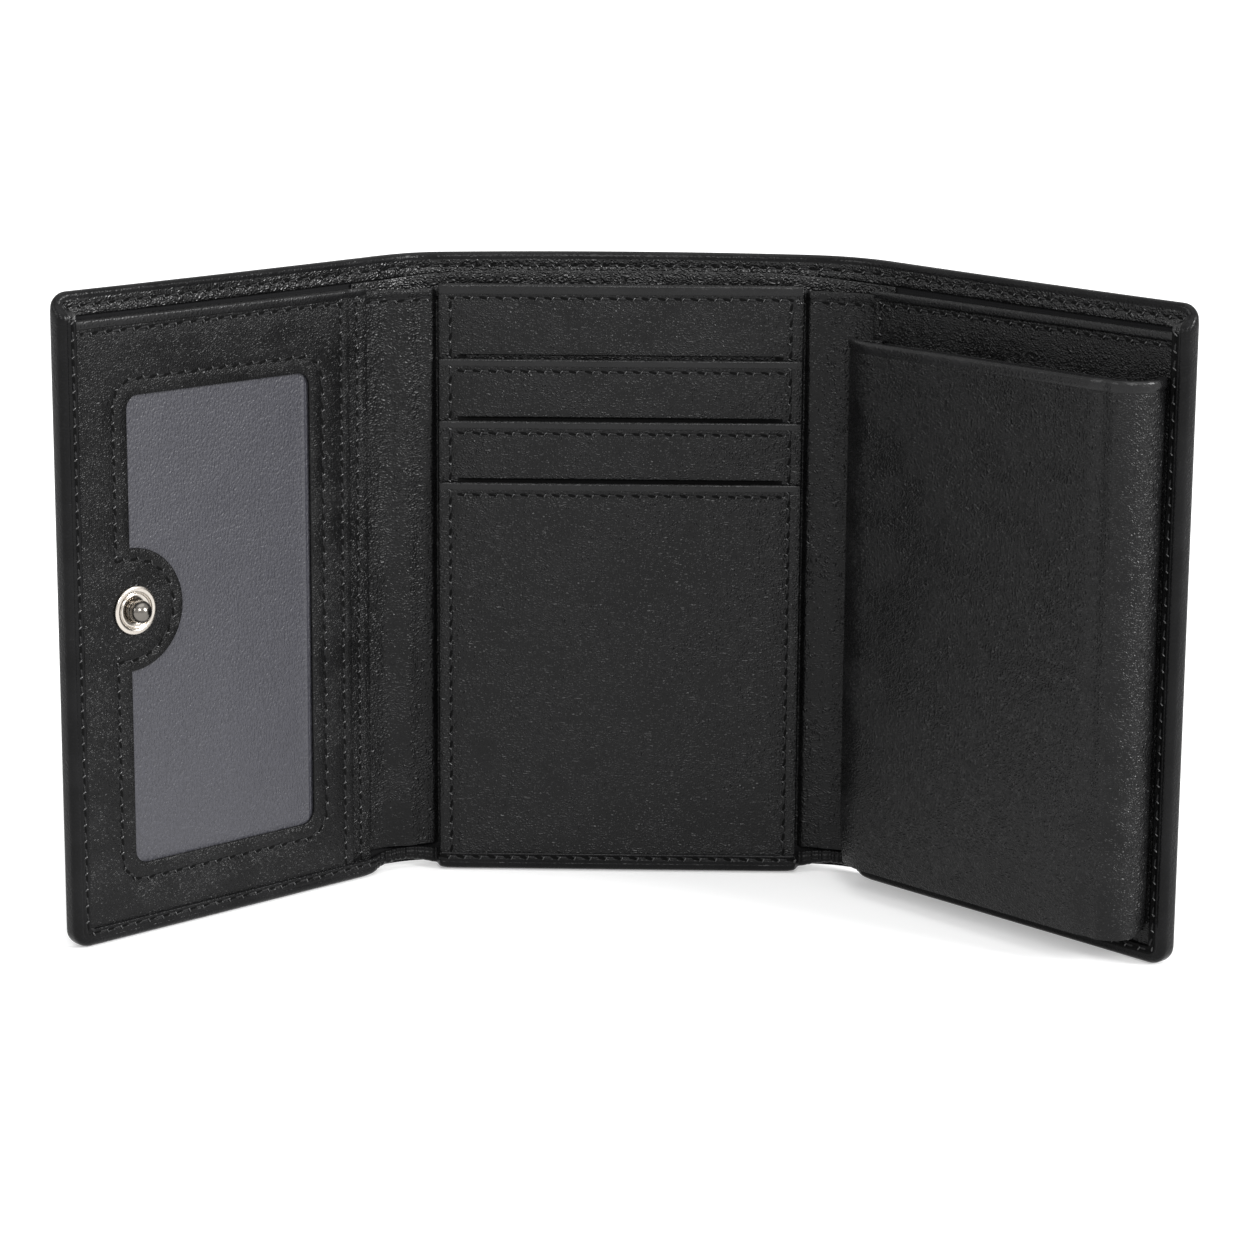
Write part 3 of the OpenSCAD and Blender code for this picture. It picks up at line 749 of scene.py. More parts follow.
def cut_panel(
    name, loops, place, thickness, finish, seams=(), edge=0.2, spacing=4.0,
    relief=level, folds=(), finish_at=None,
):
    """Flat cut leather or board with rounded edges, holes and seams pulled in by their thread.
    The outline runs anticlockwise and holes run clockwise. place takes u, z and the depth behind the front.
    relief says how far each spot rises, and the mesh has edges along the folds. finish_at gives each spot's
    finish: 0 the panel's own, 1 smooth, 2 near-black painted shade."""
    loops = [np.asarray(loop, float) for loop in loops]
    inner = [offset_line(loop, edge, True) for loop in loops]
    low, high = inner[0].min(axis=0), inner[0].max(axis=0)
    extra = np.meshgrid(np.arange(low[0], high[0], spacing), np.arange(low[1], high[1], spacing))
    extra = np.reshape(extra, (2, -1)).T + spacing / 2
    extra = extra[inside(extra, inner)]
    walls = [np.vstack([loop, loop[:1]]) for loop in inner]
    extra = extra[seam_depth(extra, [*walls, *seams, *folds], 1.1) < 0.4]
    lines = [offset_line(seam, d, False) for seam in seams for d in BESIDE_SEAM]
    flat, faces, rings = triangles(inner, [*lines, *folds], extra)
    depth = in_mm("groove") * seam_depth(flat, seams) if seams else np.zeros(len(flat))
    points = [place(flat[:, 0], flat[:, 1], depth - relief(flat[:, 0], flat[:, 1]))]
    total = len(flat)
    shown = np.zeros(len(faces), int)
    if finish_at is not None:
        middles = np.array([flat[list(f)].mean(axis=0) for f in faces])
        shown = finish_at(middles[:, 0], middles[:, 1])

    def ring(loop, inset, deep):
        nonlocal total
        line = offset_line(loop, inset, True) if inset else loop
        points.append(place(line[:, 0], line[:, 1], deep - relief(line[:, 0], line[:, 1])))
        total += len(loop)
        return list(range(total - len(loop), total))

    bent = edge * HALFWAY
    for loop, top in zip(loops, rings):
        stack = [top, ring(loop, bent, bent), ring(loop, 0, edge), ring(loop, 0, thickness - edge)]
        stack += [ring(loop, bent, thickness - bent), ring(loop, edge, thickness)]
        for upper, lower in zip(stack, stack[1:]):
            for k in range(len(loop)):
                m = (k + 1) % len(loop)
                faces.append((upper[m], upper[k], lower[k], lower[m]))
    back, back_faces, _ = triangles(inner, [], extra)
    rise = np.maximum(relief(back[:, 0], back[:, 1]), 0)
    points.append(place(back[:, 0], back[:, 1], thickness - rise))
    faces += turned_over(back_faces, total)
    indices = np.zeros(len(faces), int)
    indices[: len(shown)] = shown
    piece = new_piece(name, np.concatenate(points), faces, [finish, "smooth leather", "needle hole"], indices)
    edit(piece, sew_up)
    return piece


def rectangle(u0, u1, z0, z1, step):
    """Anticlockwise outline whose points are no further apart than step."""
    return resample([(u0, z0), (u1, z0), (u1, z1), (u0, z1)], step, True)


# ---- stitching ----


class Seam:
    """One row of stitches along a flat line on a surface."""

    def __init__(self, line, surface, lip=1):
        self.line = resample(line, 0.6)
        self.surface = surface
        self.lip = lip

    def at(self, distance):
        """Flat places at these distances along the line."""
        run = np.concatenate([[0], np.cumsum(np.linalg.norm(np.diff(self.line, axis=0), axis=1))])
        return np.stack([np.interp(distance, run, self.line[:, k]) for k in (0, 1)], axis=-1)

    def total(self):
        return np.linalg.norm(np.diff(self.line, axis=0), axis=1).sum()


def turned(vectors, degrees):
    """Flat vectors, turned to their left."""
    c, s = math.cos(math.radians(degrees)), math.sin(math.radians(degrees))
    x, y = vectors[..., 0], vectors[..., 1]
    return np.stack([x * c - y * s, x * s + y * c], axis=-1)


def unit(vectors):
    """The vectors at length 1."""
    return vectors / np.linalg.norm(vectors, axis=-1, keepdims=True)


class StitchMesh:
    """Gathers threads, stitch holes darkened with painted shade, and leather lips into one mesh."""

    FINISHES = ["sewing thread", "needle hole", "pulled leather"]
    THREAD, HOLE, LIP = range(3)
    SIDES = 8  # corners of a thread's section
    SLANT = 0.10  # how far a stitch's ends lie beside the row
    SUNK = 0.8  # share of the seam's depth to which the thread lies
    HOLE_SIZE = (1.6, 0.6, 0.05)  # length, width and rise of a stitch hole's dark lens of painted shade
    LIP_SIZE = (1.05, 0.38, 0.34)  # the same of a lip
    LENS_SINK = 0.25  # how far a lens reaches under the surface
    # Places along a stitch, with the thread's rise and the share of its width at each.
    STATIONS = np.array([0.0, 0.14, 0.32, 0.5, 0.68, 0.86, 1.0])
    RISES = np.array([-0.34, -0.16, 0.0, 0.04, 0.0, -0.16, -0.34])
    WIDTHS = np.array([0.6, 0.85, 1.0, 1.0, 1.0, 0.85, 0.6])

    def __init__(self):
        self.points, self.faces, self.indices, self.total = [], [], [], 0

    def add(self, points, faces, index):
        """points has one row per copy, and faces index into one copy."""
        count, each = points.shape[:2]
        self.points.append(points.reshape(-1, 3))
        for k in range(count):
            first = self.total + k * each
            self.faces += [tuple(first + v for v in f) for f in faces]
        self.indices += [index] * (count * len(faces))
        self.total += count * each

    def tubes(self, centre, wide, up, radii, flatness, index):
        """Closed tubes along rows of centres."""
        around = np.linspace(0, 2 * np.pi, self.SIDES, endpoint=False)
        circle = np.cos(around)[:, None] * wide[:, :, None]
        circle = circle + flatness * np.sin(around)[:, None] * up[:, :, None]
        ring = centre[:, :, None] + radii[:, None, None] * circle
        copies, rows = centre.shape[:2]
        n = self.SIDES
        faces = ring_faces(rows, n)
        faces += [tuple(reversed(range(n))), tuple((rows - 1) * n + k for k in range(n))]
        self.add(ring.reshape(copies, rows * n, 3), faces, index)

    def lenses(self, surface, middle, along, size, index):
        """Closed lens shapes lying in the surface. size is each one's length, width and rise."""
        length, width, top = size
        n = self.SIDES + 2
        around = np.linspace(0, 2 * np.pi, n, endpoint=False)[:, None]
        across = turned(along, 90)
        oval = length / 2 * np.cos(around) * along[:, None] + width / 2 * np.sin(around) * across[:, None]
        rings = []
        for reach, lift in ((1.0, -0.02), (0.72, 0.75 * top), (0.0, top), (0.0, -self.LENS_SINK)):
            spots = 1 if reach == 0 else n
            flat = (middle[:, None] + reach * oval[:, :spots]).reshape(-1, 2)
            ring = surface(flat[:, 0], flat[:, 1], np.full(len(flat), -lift))
            rings.append(ring.reshape(len(middle), spots, 3))
        faces = []
        for k in range(n):
            m = (k + 1) % n
            faces += [(k, m, n + m, n + k), (n + k, n + m, 2 * n), (m, k, 2 * n + 1)]
        self.add(np.concatenate(rings, axis=1), faces, index)

    def row(self, seam):
        """One row: flush thread between stitch holes that are dark lenses of painted shade, each with a
        raised lip of leather whose lighter colour is a painted highlight.
        """
        whole = seam.total()
        count = max(1, round(whole / in_mm("stitch")))
        step = whole / count
        spots = np.arange(count + 1) * step
        holes = seam.at(spots)
        along = unit(seam.at(np.clip(spots + 0.1, 0, whole)) - seam.at(np.clip(spots - 0.1, 0, whole)))
        groove = in_mm("groove")

        def sunk(u, z, d):
            return seam.surface(u, z, d + groove * self.SUNK)

        start, stop = seam.at((np.arange(count) + 0.02) * step), seam.at((np.arange(count) + 0.98) * step)
        run = unit(stop - start)
        start, stop = start + turned(run, 90) * self.SLANT, stop - turned(run, 90) * self.SLANT
        middle = start[:, None] + (stop - start)[:, None] * self.STATIONS[:, None]
        shape = middle.shape[:2]

        def lifted(flat, lift):
            flat = flat.reshape(-1, 2)
            return sunk(flat[:, 0], flat[:, 1], -np.broadcast_to(lift, shape).ravel()).reshape(*shape, 3)

        centre = lifted(middle, self.RISES)
        up = unit(lifted(middle, self.RISES + 0.2) - centre)
        wide = unit(lifted(middle + turned(run, 90)[:, None] * 0.2, self.RISES) - centre)
        self.tubes(centre, wide, up, in_mm("thread") / 2 * self.WIDTHS, 0.7, self.THREAD)
        self.lenses(sunk, holes, turned(along, -14), self.HOLE_SIZE, self.HOLE)
        # each hole's lip: raised leather, coloured lighter as a painted highlight
        lip = holes + along * 0.82 + turned(along, -90) * 0.12 * seam.lip
        self.lenses(sunk, lip, turned(along, 58), self.LIP_SIZE, self.LIP)


def stitches(name, seams):
    """One piece with the rows of all the seams."""
    mesh = StitchMesh()
    for seam in seams:
        mesh.row(seam)
    piece = new_piece(name, np.concatenate(mesh.points), mesh.faces, mesh.FINISHES, mesh.indices)
    edit(piece, lambda bm: bmesh.ops.recalc_face_normals(bm, faces=bm.faces))
    return piece


# ---- the wallet's own measures, in millimetres ----

EDGE_SEAM = 2.3  # seam of the shell's turned edge, in from the edge
FOLD_SEAM = 1.9  # seam under the top of a fold's inner leather
BAND_SEAM = 2.15  # seam under the top of a side panel's inner leather
MOUTH_SEAM = 2.1  # seam under a card pocket's mouth
TOP_SEAM = 2.3  # seam under the top of the card backing and of the shell
STITCH_X = HALF_W - 2.0  # side seams of the card pockets
MOUTH_BEAD = 1.35  # height of the turned edge at a card pocket's mouth
TOP_BEAD = 1.7  # the same on the card backing
BAND_BEAD = 1.5  # the same on a side panel's inner leather
SLOT = 0.62  # height of the slot above a card pocket's mouth, a groove coloured with painted shade
GLUE = 0.02  # gap between a board and its neighbours
SEAM_FOOT = 3.5  # height at which an upright seam begins
LEFT_SEAM = 2.1  # upright seam beside the fold on the left panel
POCKETS = ("card_pocket_upper", "card_pocket_middle", "card_pocket_lower")
LAYERS = ("card_backing", *POCKETS)


# ---- how a piece moves ----


def wear(piece, slot, *nodes):
    """The piece stands in for these nodes, which it hides. Its slot is not used."""
    if nodes:
        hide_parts(*nodes)


def ride(piece, body, slot, *nodes):
    """The piece moves with one body."""
    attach(piece, body)
    wear(piece, slot, *nodes)


def bend(piece, half, slot, *nodes):
    """The piece lies over a fold, between the centre panel and the side panel; its place is baked into its
    mesh and it stands in for these nodes. Its slot is not used.
    """
    start, end = half.blend_ends()
    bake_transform(piece)
    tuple(start)
    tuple(end)
    wear(piece, slot, *nodes)


# ---- outer shell ----


def halves():
    """Both halves of the shell, with the sizes as they are now."""
    return HalfShell(LEFT), HalfShell(RIGHT)


def hem_front(half, a, z):
    """Depth n of the front of the turned edge round the shell."""
    centre, fold, panel = FOLD_PLANE - LINING_FOOT_Y, -1.3, -half.lining_y
    low = centre + (fold - centre) * smooth((a - HALF_W + 0.1) / 0.7)
    low = low + (panel - low) * smooth((a - half.fold_end + 1.8) / 2.0)
    top = smooth((z - INNER_H - 0.3) / (SHELL_H - INNER_H - 1.2))
    return low + (-FACING_T - low) * top


def gathers(half, a):
    """Small puckers of the turned edge where it rounds a fold."""
    waves = 0.6 * np.sin(a * 3.1) + 0.9 * np.sin(a * 7.3 + 1.1 + np.sin(a * 1.7))
    return 0.15 * waves * half.in_fold(a, 0.3) ** 0.5


def fold_creases(half, a, z):
    """Soft upright creases of the leather in a fold."""
    waves = np.sin(a * 2.3 + 0.6 * np.sin(z * 0.05)) + 0.6 * np.sin(a * 4.4 + 1.7 + 0.4 * np.sin(z * 0.09))
    return 0.07 * waves * half.in_fold(a)


def arc(u, z, radius, start, stop, step=10):
    """Points on an arc, in degrees from start to stop."""
    angles = np.radians(np.linspace(start, stop, max(2, round(abs(stop - start) / step)) + 1))
    return [(u + radius * math.cos(g), z + radius * math.sin(g)) for g in angles]


def socket_hole():
    """Middle and radius of the hole for the socket's barrel in the right panel."""
    points = RIGHT.local(node_points("snap_socket"))
    barrel = points[points[:, 1] < RIGHT.box("right_shell")[1][1] - 0.2]
    low, high = barrel.min(axis=0), barrel.max(axis=0)
    return *middle_of(low, high), (high[0] - low[0]) / 2 + 0.1


def round_hole(u, z, radius):
    """Clockwise outline of a round hole."""
    return np.array(arc(u, z, radius, 360, 0)[:-1])


def shell_breaks(half):
    """Where the shell's mesh has its lines, along half the leather and up it."""
    a = np.concatenate([
        np.linspace(0, HALF_W - 1.2, 14),
        [HALF_W - 0.5, HALF_W - 0.12, HALF_W + 0.12],
        np.linspace(HALF_W + 0.4, half.fold_end + 0.6, 76),
        np.linspace(half.fold_end + 2.0, half.length - HEM_W, 22),
    ])
    z = np.concatenate([np.linspace(HEM_W, INNER_H - 1.0, 30), np.linspace(INNER_H, SHELL_H - HEM_W, 4)])
    return a, z


def shell_border(half, a_breaks, z_breaks):
    """Outline of half the shell from the middle of its foot round the free edge to the middle of its top.
    Gives a, z and the direction inward."""
    corner = np.radians(np.linspace(-90, 0, 9))[1:-1]
    radius = HEM_W

    def rounded(middle, angles):
        across, up = np.cos(angles), np.sin(angles)
        return list(zip(half.length - radius + radius * across, middle + radius * up, -across, -up))

    border = [(a, 0.0, 0.0, 1.0) for a in a_breaks]
    border += rounded(radius, corner)
    border += [(half.length, z, -1.0, 0.0) for z in z_breaks]
    border += rounded(SHELL_H - radius, corner + math.pi / 2)
    border += [(a, SHELL_H, 0.0, -1.0) for a in a_breaks[::-1]]
    return np.array(border).T


def back_sheet(half, a_breaks, z_breaks):
    """Back of the shell as flat points and faces, with the socket's hole on the right panel."""
    a, z = grid(a_breaks, z_breaks)
    flat = np.stack([a.ravel(), z.ravel()], axis=1)
    if half.side < 0:
        return flat, grid_faces(len(a_breaks), len(z_breaks))
    foot = [(p, z_breaks[0]) for p in a_breaks[:-1]]
    top = [(p, z_breaks[-1]) for p in a_breaks[:0:-1]]
    free = [(a_breaks[-1], p) for p in z_breaks[:-1]]
    middle = [(a_breaks[0], p) for p in z_breaks[:0:-1]]
    u, height, radius = socket_hole()
    hole = round_hole(half.fold_end + u, height, radius)
    within = (flat > flat.min(axis=0) + 0.01).all(axis=1) & (flat < flat.max(axis=0) - 0.01).all(axis=1)
    clear = np.hypot(flat[:, 0] - half.fold_end - u, flat[:, 1] - height) > radius + 0.6
    return triangles([np.array(foot + free + top + middle), hole], [], flat[within & clear])[:2]


# Rows of the turned edge's section: where its rounding begins, where the back's creases have faded out and
# where the flat of the front begins.
ROUND_FROM, FADED_AT, FLAT_FROM = 2, 9, 14
BESIDE_POCKET = 6.0  # distance from the fold at which the edge's flat passes beside the coin pocket; from here on that flat gets painted shade


def turned_edge(front, at_top):
    """Section of the turned edge, from the back over to its inner rim: distance from the edge and depth n."""
    corner = np.minimum(1.15, (SHELL_BACK - front) * 0.46)
    width = HEM_W + (FACING_H + 0.5 - HEM_W) * at_top
    quarter = np.radians([0, 22.5, 45, 67.5, 90])
    groove, dent = in_mm("groove"), 0.10 * (1 - at_top)
    rows = [(HEM_W, SHELL_BACK), (2.1, SHELL_BACK)]
    rows += [(corner * (1 - math.sin(g)), SHELL_BACK - corner * (1 - math.cos(g))) for g in quarter]
    rows += [(corner * (1 - math.cos(g)), front + corner * (1 - math.sin(g))) for g in quarter]
    rows += [(corner + 0.12, front), (corner + 0.27, front + dent), (corner + 0.42, front)]
    for beside, share in ((-0.35, 0), (-0.15, 0.7), (0, 1), (0.15, 0.7), (0.35, 0)):
        rows.append((EDGE_SEAM + beside, front + groove * share))
    rim = [(width - 0.2, front), (width - 0.06, front + 0.06), (width, front + 0.2), (width, front + 0.42)]
    return rows + rim


def outer_leather(half):
    """Half the shell's leather: its back, and the edge turned over to the front."""
    a_breaks, z_breaks = shell_breaks(half)
    a0, z0, along, rise = shell_border(half, a_breaks, z_breaks)
    section = turned_edge(hem_front(half, a0, z0), smooth((z0 - INNER_H) / (SHELL_H - INNER_H)))
    lift = in_mm("fold_lift") * half.in_fold(a0, 1.6) ** 1.5 * (z0 < 1)
    puckers = gathers(half, a0) * (z0 < 1)
    rings = []
    for k, (inset, n) in enumerate(section):
        share = min(k / FADED_AT, 1)
        fade = 1.0 if k < ROUND_FROM else 0.5
        a = a0 + along * inset
        z = z0 + rise * inset + lift * (1 - inset / HEM_W * fade)
        rings.append(half.point(a, n + fold_creases(half, a, z) * (1 - share) + puckers * share, z))
    count = len(a0)
    faces = ring_faces(len(rings), count, closed=False)
    flat, sheet_faces = back_sheet(half, a_breaks, z_breaks)
    a, z = flat.T
    shown = np.zeros(len(faces) + len(sheet_faces), int)
    row, low = np.arange(len(rings) - 1)[:, None], z0[:-1] < INNER_H
    # painted shade: the flat of the right turned edge beside the coin pocket gets the darker, duller leather
    dull = (row >= FLAT_FROM) & low & (half.side > 0) & (a0[:-1] > half.fold_end + BESIDE_POCKET)
    shown[: len(faces)] = (((row >= ROUND_FROM) & ((row < FLAT_FROM) | low)) + 1 * dull).ravel()
    faces += turned_over(sheet_faces, len(rings) * count)
    if half.side > 0:
        faces = turned_over(faces, 0)
    points = np.concatenate([*rings, half.point(a, SHELL_BACK + fold_creases(half, a, z), z)])
    finishes = ["shell leather", "edge leather", "dull leather"]
    piece = new_piece(f"{half.name}_outer_leather", points, faces, finishes, shown)
    edit(piece, lambda bm: bmesh.ops.remove_doubles(bm, verts=bm.verts, dist=2 * JOIN))
    return piece


class Made(bpy.types.Operator):
    """Shared base of the wallet's operators"""

    bl_options = {"REGISTER"}

    def execute(self, context):
        self.make()
        return {"FINISHED"}


class WALLET_OT_outer_leather(Made):
    """Outer shell leather with its turned edges"""

    bl_idname = "wallet.outer_leather"
    bl_label = "Outer leather"

    def make(self):
        for half in halves():
            parts = ("shell", "spine_shell", "facing", "spine_facing", "binding")
            nodes = [f"{half.name}_{part}" for part in parts]
            nodes += [f"centre_{part}" for part in ("shell", "facing", "binding")]
            bend(outer_leather(half), half, "leather", *nodes)


class WALLET_OT_compartment(Made):
    """Lining, divider and stiffener boards of the bill compartment"""

    bl_idname = "wallet.compartment"
    bl_label = "Bill compartment"

    def make(self):
        for half in halves():
            self.lining(half)
            self.divider(half)
            self.side_board(half)
        self.centre_board()

    def lining(self, half):
        end = half.length - 1.5
        in_fold = np.arange(HALF_W - 1, half.fold_end + 1, 0.6)
        a = np.unique(np.concatenate([np.linspace(0.0, end, 24), in_fold]))
        a, z = grid(a, with_margins(0.8, SHELL_H - 1.2, 6.0))
        front, back = half.point(a, 0.0, z), half.point(a, BOARD_FRONT, z)
        piece = thick_sheet(f"{half.name}_compartment_lining", front, back, "lining fabric", 0.03)
        bend(piece, half, "lining", f"{half.name}_lining", f"{half.name}_spine_lining", "centre_lining")

    def divider(self, half):
        """Leather divider that stands between the shell and the card pockets."""
        foot = 55.0
        a, t = grid(np.linspace(0, half.fold_end + 1.5, 60), np.linspace(0, 1, 26) ** 0.7)
        near = smooth((half.fold_end - 1.0 - a) / 16.0)
        z = foot + (INNER_H + 0.4 + 1.2 * near - foot) * t
        n = -0.25 - 2.5 * near * (z / INNER_H) ** 2
        front, back = half.point(a, n - 0.35, z), half.point(a, n, z)
        piece = thick_sheet(f"{half.name}_divider", front, back, "shell leather", 0.1)
        bend(piece, half, "leather")

    def side_board(self, half):
        low, high = half.panel.box(f"{half.name}_board")
        loops = [rectangle(low[0], high[0], low[2], high[2], 4.0)]
        if half.name == "right":
            loops.append(round_hole(*socket_hole()))
        board = cut_panel(
            f"{half.name}_stiffener", loops,
            lambda u, z, d: half.point(half.fold_end + u, BOARD_FRONT + GLUE + d, z),
            SHELL_FRONT - BOARD_FRONT - 2 * GLUE, "stiffener board", edge=0.05, spacing=6.0,
        )
        ride(board, f"{half.name}_panel", "stiffener", f"{half.name}_board")

    def centre_board(self):
        low, high = CENTRE.box("centre_board")
        x, z = grid(np.linspace(low[0], high[0], 15), with_margins(low[2], high[2], 6.0))
        y = HalfShell(RIGHT).centre_y(x, z)
        front, back = stacked(x, y + BOARD_FRONT + GLUE, z), stacked(x, y + SHELL_FRONT - GLUE, z)
        board = thick_sheet("centre_stiffener", front, back, "stiffener board", 0.05)
        ride(board, "centre_panel", "stiffener", "centre_board")


# ---- fold leather ----


def inner_creases(half, a, z):
    """Creases, the valley beside the card pockets and the roll of a fold's inner leather."""
    wander = 0.9 * np.sin(z * 0.06) + 0.5 * np.sin(z * 0.13 + 1.0)
    waves = np.sin(a * 1.2 + wander) + 0.4 * np.sin(a * 2.5 - wander)
    fine = np.sin(a * 5.5 + 2 * wander) * smooth((z - 45) / 50) * smooth((a - HALF_W - 3.0) / 3.0)
    roll = (1.0 if half.side < 0 else 0.5) * dip(a, HALF_W + 4.8, 2.7)
    return (0.04 * waves + 0.05 * fine) * half.in_fold(a, 0.4) + dip(a, HALF_W + 0.1, 0.42) - roll


def inner_fold_surface(half):
    return lambda a, z, d: half.inner(a, d + inner_creases(half, a, z), z)


def bead(z, top, height, rise):
    """Rounded turned edge below top, with a crease under it."""
    t = np.clip((top - z) / height, 0, 1.0) * 2 - 1
    return rise * (np.sqrt(np.clip(1 - t * t, 0, 1)) - 0.35 * dip(z, top - height, 0.18))


class WALLET_OT_fold_leather(Made):
    """Creased inner leather of both folds"""

    bl_idname = "wallet.fold_leather"
    bl_label = "Fold leather"

    def make(self):
        for half in halves():
            node = f"{half.name}_spine_inner"
            low, high = CENTRE.box(node)
            top, seam = high[2], high[2] - FOLD_SEAM
            a = np.concatenate([
                np.linspace(HALF_W - half.TUCK, HALF_W + 1.4, 18),
                np.linspace(HALF_W + 1.8, half.fold_end + 1.0, 44),
            ])
            z = np.unique(np.concatenate([
                with_margins(low[2], top, 3.0),
                top - np.array([0.7, 1.0, 1.2, 1.4]),
                seam + np.array([-0.7, -0.35, -0.15, 0, 0.15, 0.35, 0.7]),
            ]))
            a, z = grid(a, z)
            groove = in_mm("groove") * dip(z, seam, 0.35) - bead(z, top, 1.3, 0.16)
            surface = inner_fold_surface(half)
            front, back = surface(a, z, groove), surface(a, z, 0.5)
            piece = thick_sheet(f"{half.name}_fold_leather", front, back, "fold leather", 0.16)
            bend(piece, half, "leather", node)


# ---- card pockets ----


def mouth(node):
    """Height of a layer's top."""
    return CENTRE.box(node)[1][2]


def mouth_below(node):
    """Height of the mouth in front of this layer, if there is one."""
    place = LAYERS.index(node)
    return mouth(LAYERS[place + 1]) if place + 1 < len(LAYERS) else None


def layer_edge(node):
    """Height of a layer's turned edge, and how far under its top the seam lies."""
    return (MOUTH_BEAD, MOUTH_SEAM) if node in POCKETS else (TOP_BEAD, TOP_SEAM)


def edge_lines(u0, u1, top, height):
    """Mesh lines that carry a turned edge."""
    steps = [0.3, 0.45, 0.65, *(height + d for d in (-0.4, -0.2, -0.08, 0, 0.12, 0.4))]
    return [resample([(u0, top - d), (u1, top - d)], 1.8) for d in steps]


def smooth_above(height):
    """Smooth finish above this height."""
    return lambda u, z: np.where(z > height, 1, 0)


def layer_relief(node):
    """Turned edge, the mouth standing forward, and the slot above the next pocket's mouth."""
    top, below = mouth(node), mouth_below(node)

    def relief(x, z):
        rise = bead(z, top, layer_edge(node)[0], 0.16)
        if node in POCKETS:
            free = np.clip(1 - (x / (STITCH_X - 1.2)) ** 2, 0, 1) ** 0.6
            rise = rise + in_mm("mouth_bow") * free * np.exp(-np.clip(top - z, 0, 99) / 3.5)
        if below is not None:
            across = smooth((STITCH_X - 1.0 - np.abs(x)) / 0.9)
            rise = rise - 0.38 * smooth((below + SLOT - z) / 0.14) * across * (z > below - 2.5)
        return rise

    return relief


class WALLET_OT_card_pockets(Made):
    """Three stacked card pockets and their backing"""

    bl_idname = "wallet.card_pockets"
    bl_label = "Card pockets"

    def make(self):
        low, high = CENTRE.box("centre_base")
        x, z = grid(with_margins(low[0] + 1.3, high[0] - 1.3, 6.0), with_margins(low[2], high[2], 6.0))
        front, back = stacked(x, low[1] + GLUE, z), stacked(x, high[1], z)
        base = thick_sheet("compartment_front", front, back, "grained leather", 0.15)
        ride(base, "centre_panel", "leather", "centre_base")
        for node in LAYERS:
            self.layer(node)

    def layer(self, node):
        low, high = CENTRE.box(node)
        top, below = high[2], mouth_below(node)
        height, seam = layer_edge(node)
        row = top - seam
        reach = STITCH_X - (1.4 if node in POCKETS else 0.0)
        rows = [[(s * STITCH_X, 2.0), (s * STITCH_X, row)] for s in (-1, 1)]
        rows.append([(-reach, row), (reach, row)])
        folds = edge_lines(low[0] + 0.35, high[0] - 0.35, top, height)
        reach = STITCH_X - 1.2
        if below is not None:
            steps = (SLOT + 0.3, SLOT + 0.12, SLOT + 0.02, SLOT - 0.06, SLOT - 0.14, 0.2, -0.5)
            folds += [resample([(-reach, below + d), (reach, below + d)], 1.5) for d in steps]

        def finish_at(x, z):
            shown = smooth_above(top - height)(x, z)
            if below is not None:
                # painted shade: the slot above the next pocket's mouth gets the near-black hole colour
                shown[(np.abs(z - below) < SLOT - 0.07) & (np.abs(x) < reach - 0.4)] = 2
            return shown

        piece = cut_panel(
            f"{node}_leather", [rectangle(low[0], high[0], low[2], top, 1.5)], CENTRE.at_depth(low[1]),
            high[1] - low[1] - 0.03, "grained leather", [resample(line, 1.5) for line in rows], spacing=3.0,
            relief=layer_relief(node), folds=folds, finish_at=finish_at,
        )
        ride(piece, "centre_panel", "leather", node)


# ---- side panels ----


def band_relief(top):
    """Relief of a turned edge along the top."""
    return lambda u, z: bead(z, top, BAND_BEAD, 0.24)


def band(u0, u1, top):
    """Settings of cut_panel for a turned edge along the top, from u0 to u1."""
    lines = edge_lines(u0, u1, top, BAND_BEAD)
    return {"relief": band_relief(top), "folds": lines, "finish_at": smooth_above(top - BAND_BEAD)}


def inner_leather(panel, rows, band_end):
    """Inner leather of a side panel."""
    node = f"{panel.name}_base"
    low, high = panel.box(node)
    loop = rectangle(low[0] - 0.1, high[0] - 1.2, low[2], high[2], 2.0)
    piece = cut_panel(
        f"{panel.name}_inner_leather", [loop], panel.at_depth(low[1]), high[1] - low[1], "grained leather",
        [resample(line, 1.5) for line in rows], spacing=5.0, **band(0.2, band_end, high[2]),
    )
    ride(piece, f"{panel.name}_panel", "leather", node)


def window_sizes():
    """Lower and upper corner of the window, the tab's middle and its radius, from the frame's nodes."""
    points = LEFT.local(node_points("id_window_frame"))
    low, high = LEFT.box("id_window_film")
    lap = 3.0
    middle = middle_of(*LEFT.box("snap_stud"))[1]
    window_low = (low[0] + lap, low[2] + lap)
    window_high = (high[0] - lap, high[2] - lap)
    near = points[np.abs(points[:, 2] - middle) < 1.5]
    reach = [u for u in near[:, 0] if window_low[0] + 1 < u < window_high[0] - 1]
    tab_radius = window_high[0] - min(reach) if reach else 10.0
    return window_low, window_high, (window_high[0], middle), tab_radius


def rounded_window(low, high, radius, tab, tab_radius):
    """Clockwise outline of the window, with the snap tab reaching in from the free edge."""
    left, right = low[0] + radius, high[0] - radius
    foot, top = low[1] + radius, high[1] - radius
    outline = arc(left, foot, radius, 270, 180, 15) + arc(left, top, radius, 180, 90, 15)
    outline += arc(right, top, radius, 90, 0, 15) + arc(*tab, tab_radius, 90, 270, 6)
    outline += arc(right, foot, radius, 0, -90, 15)
    return resample(outline, 3.0, True)


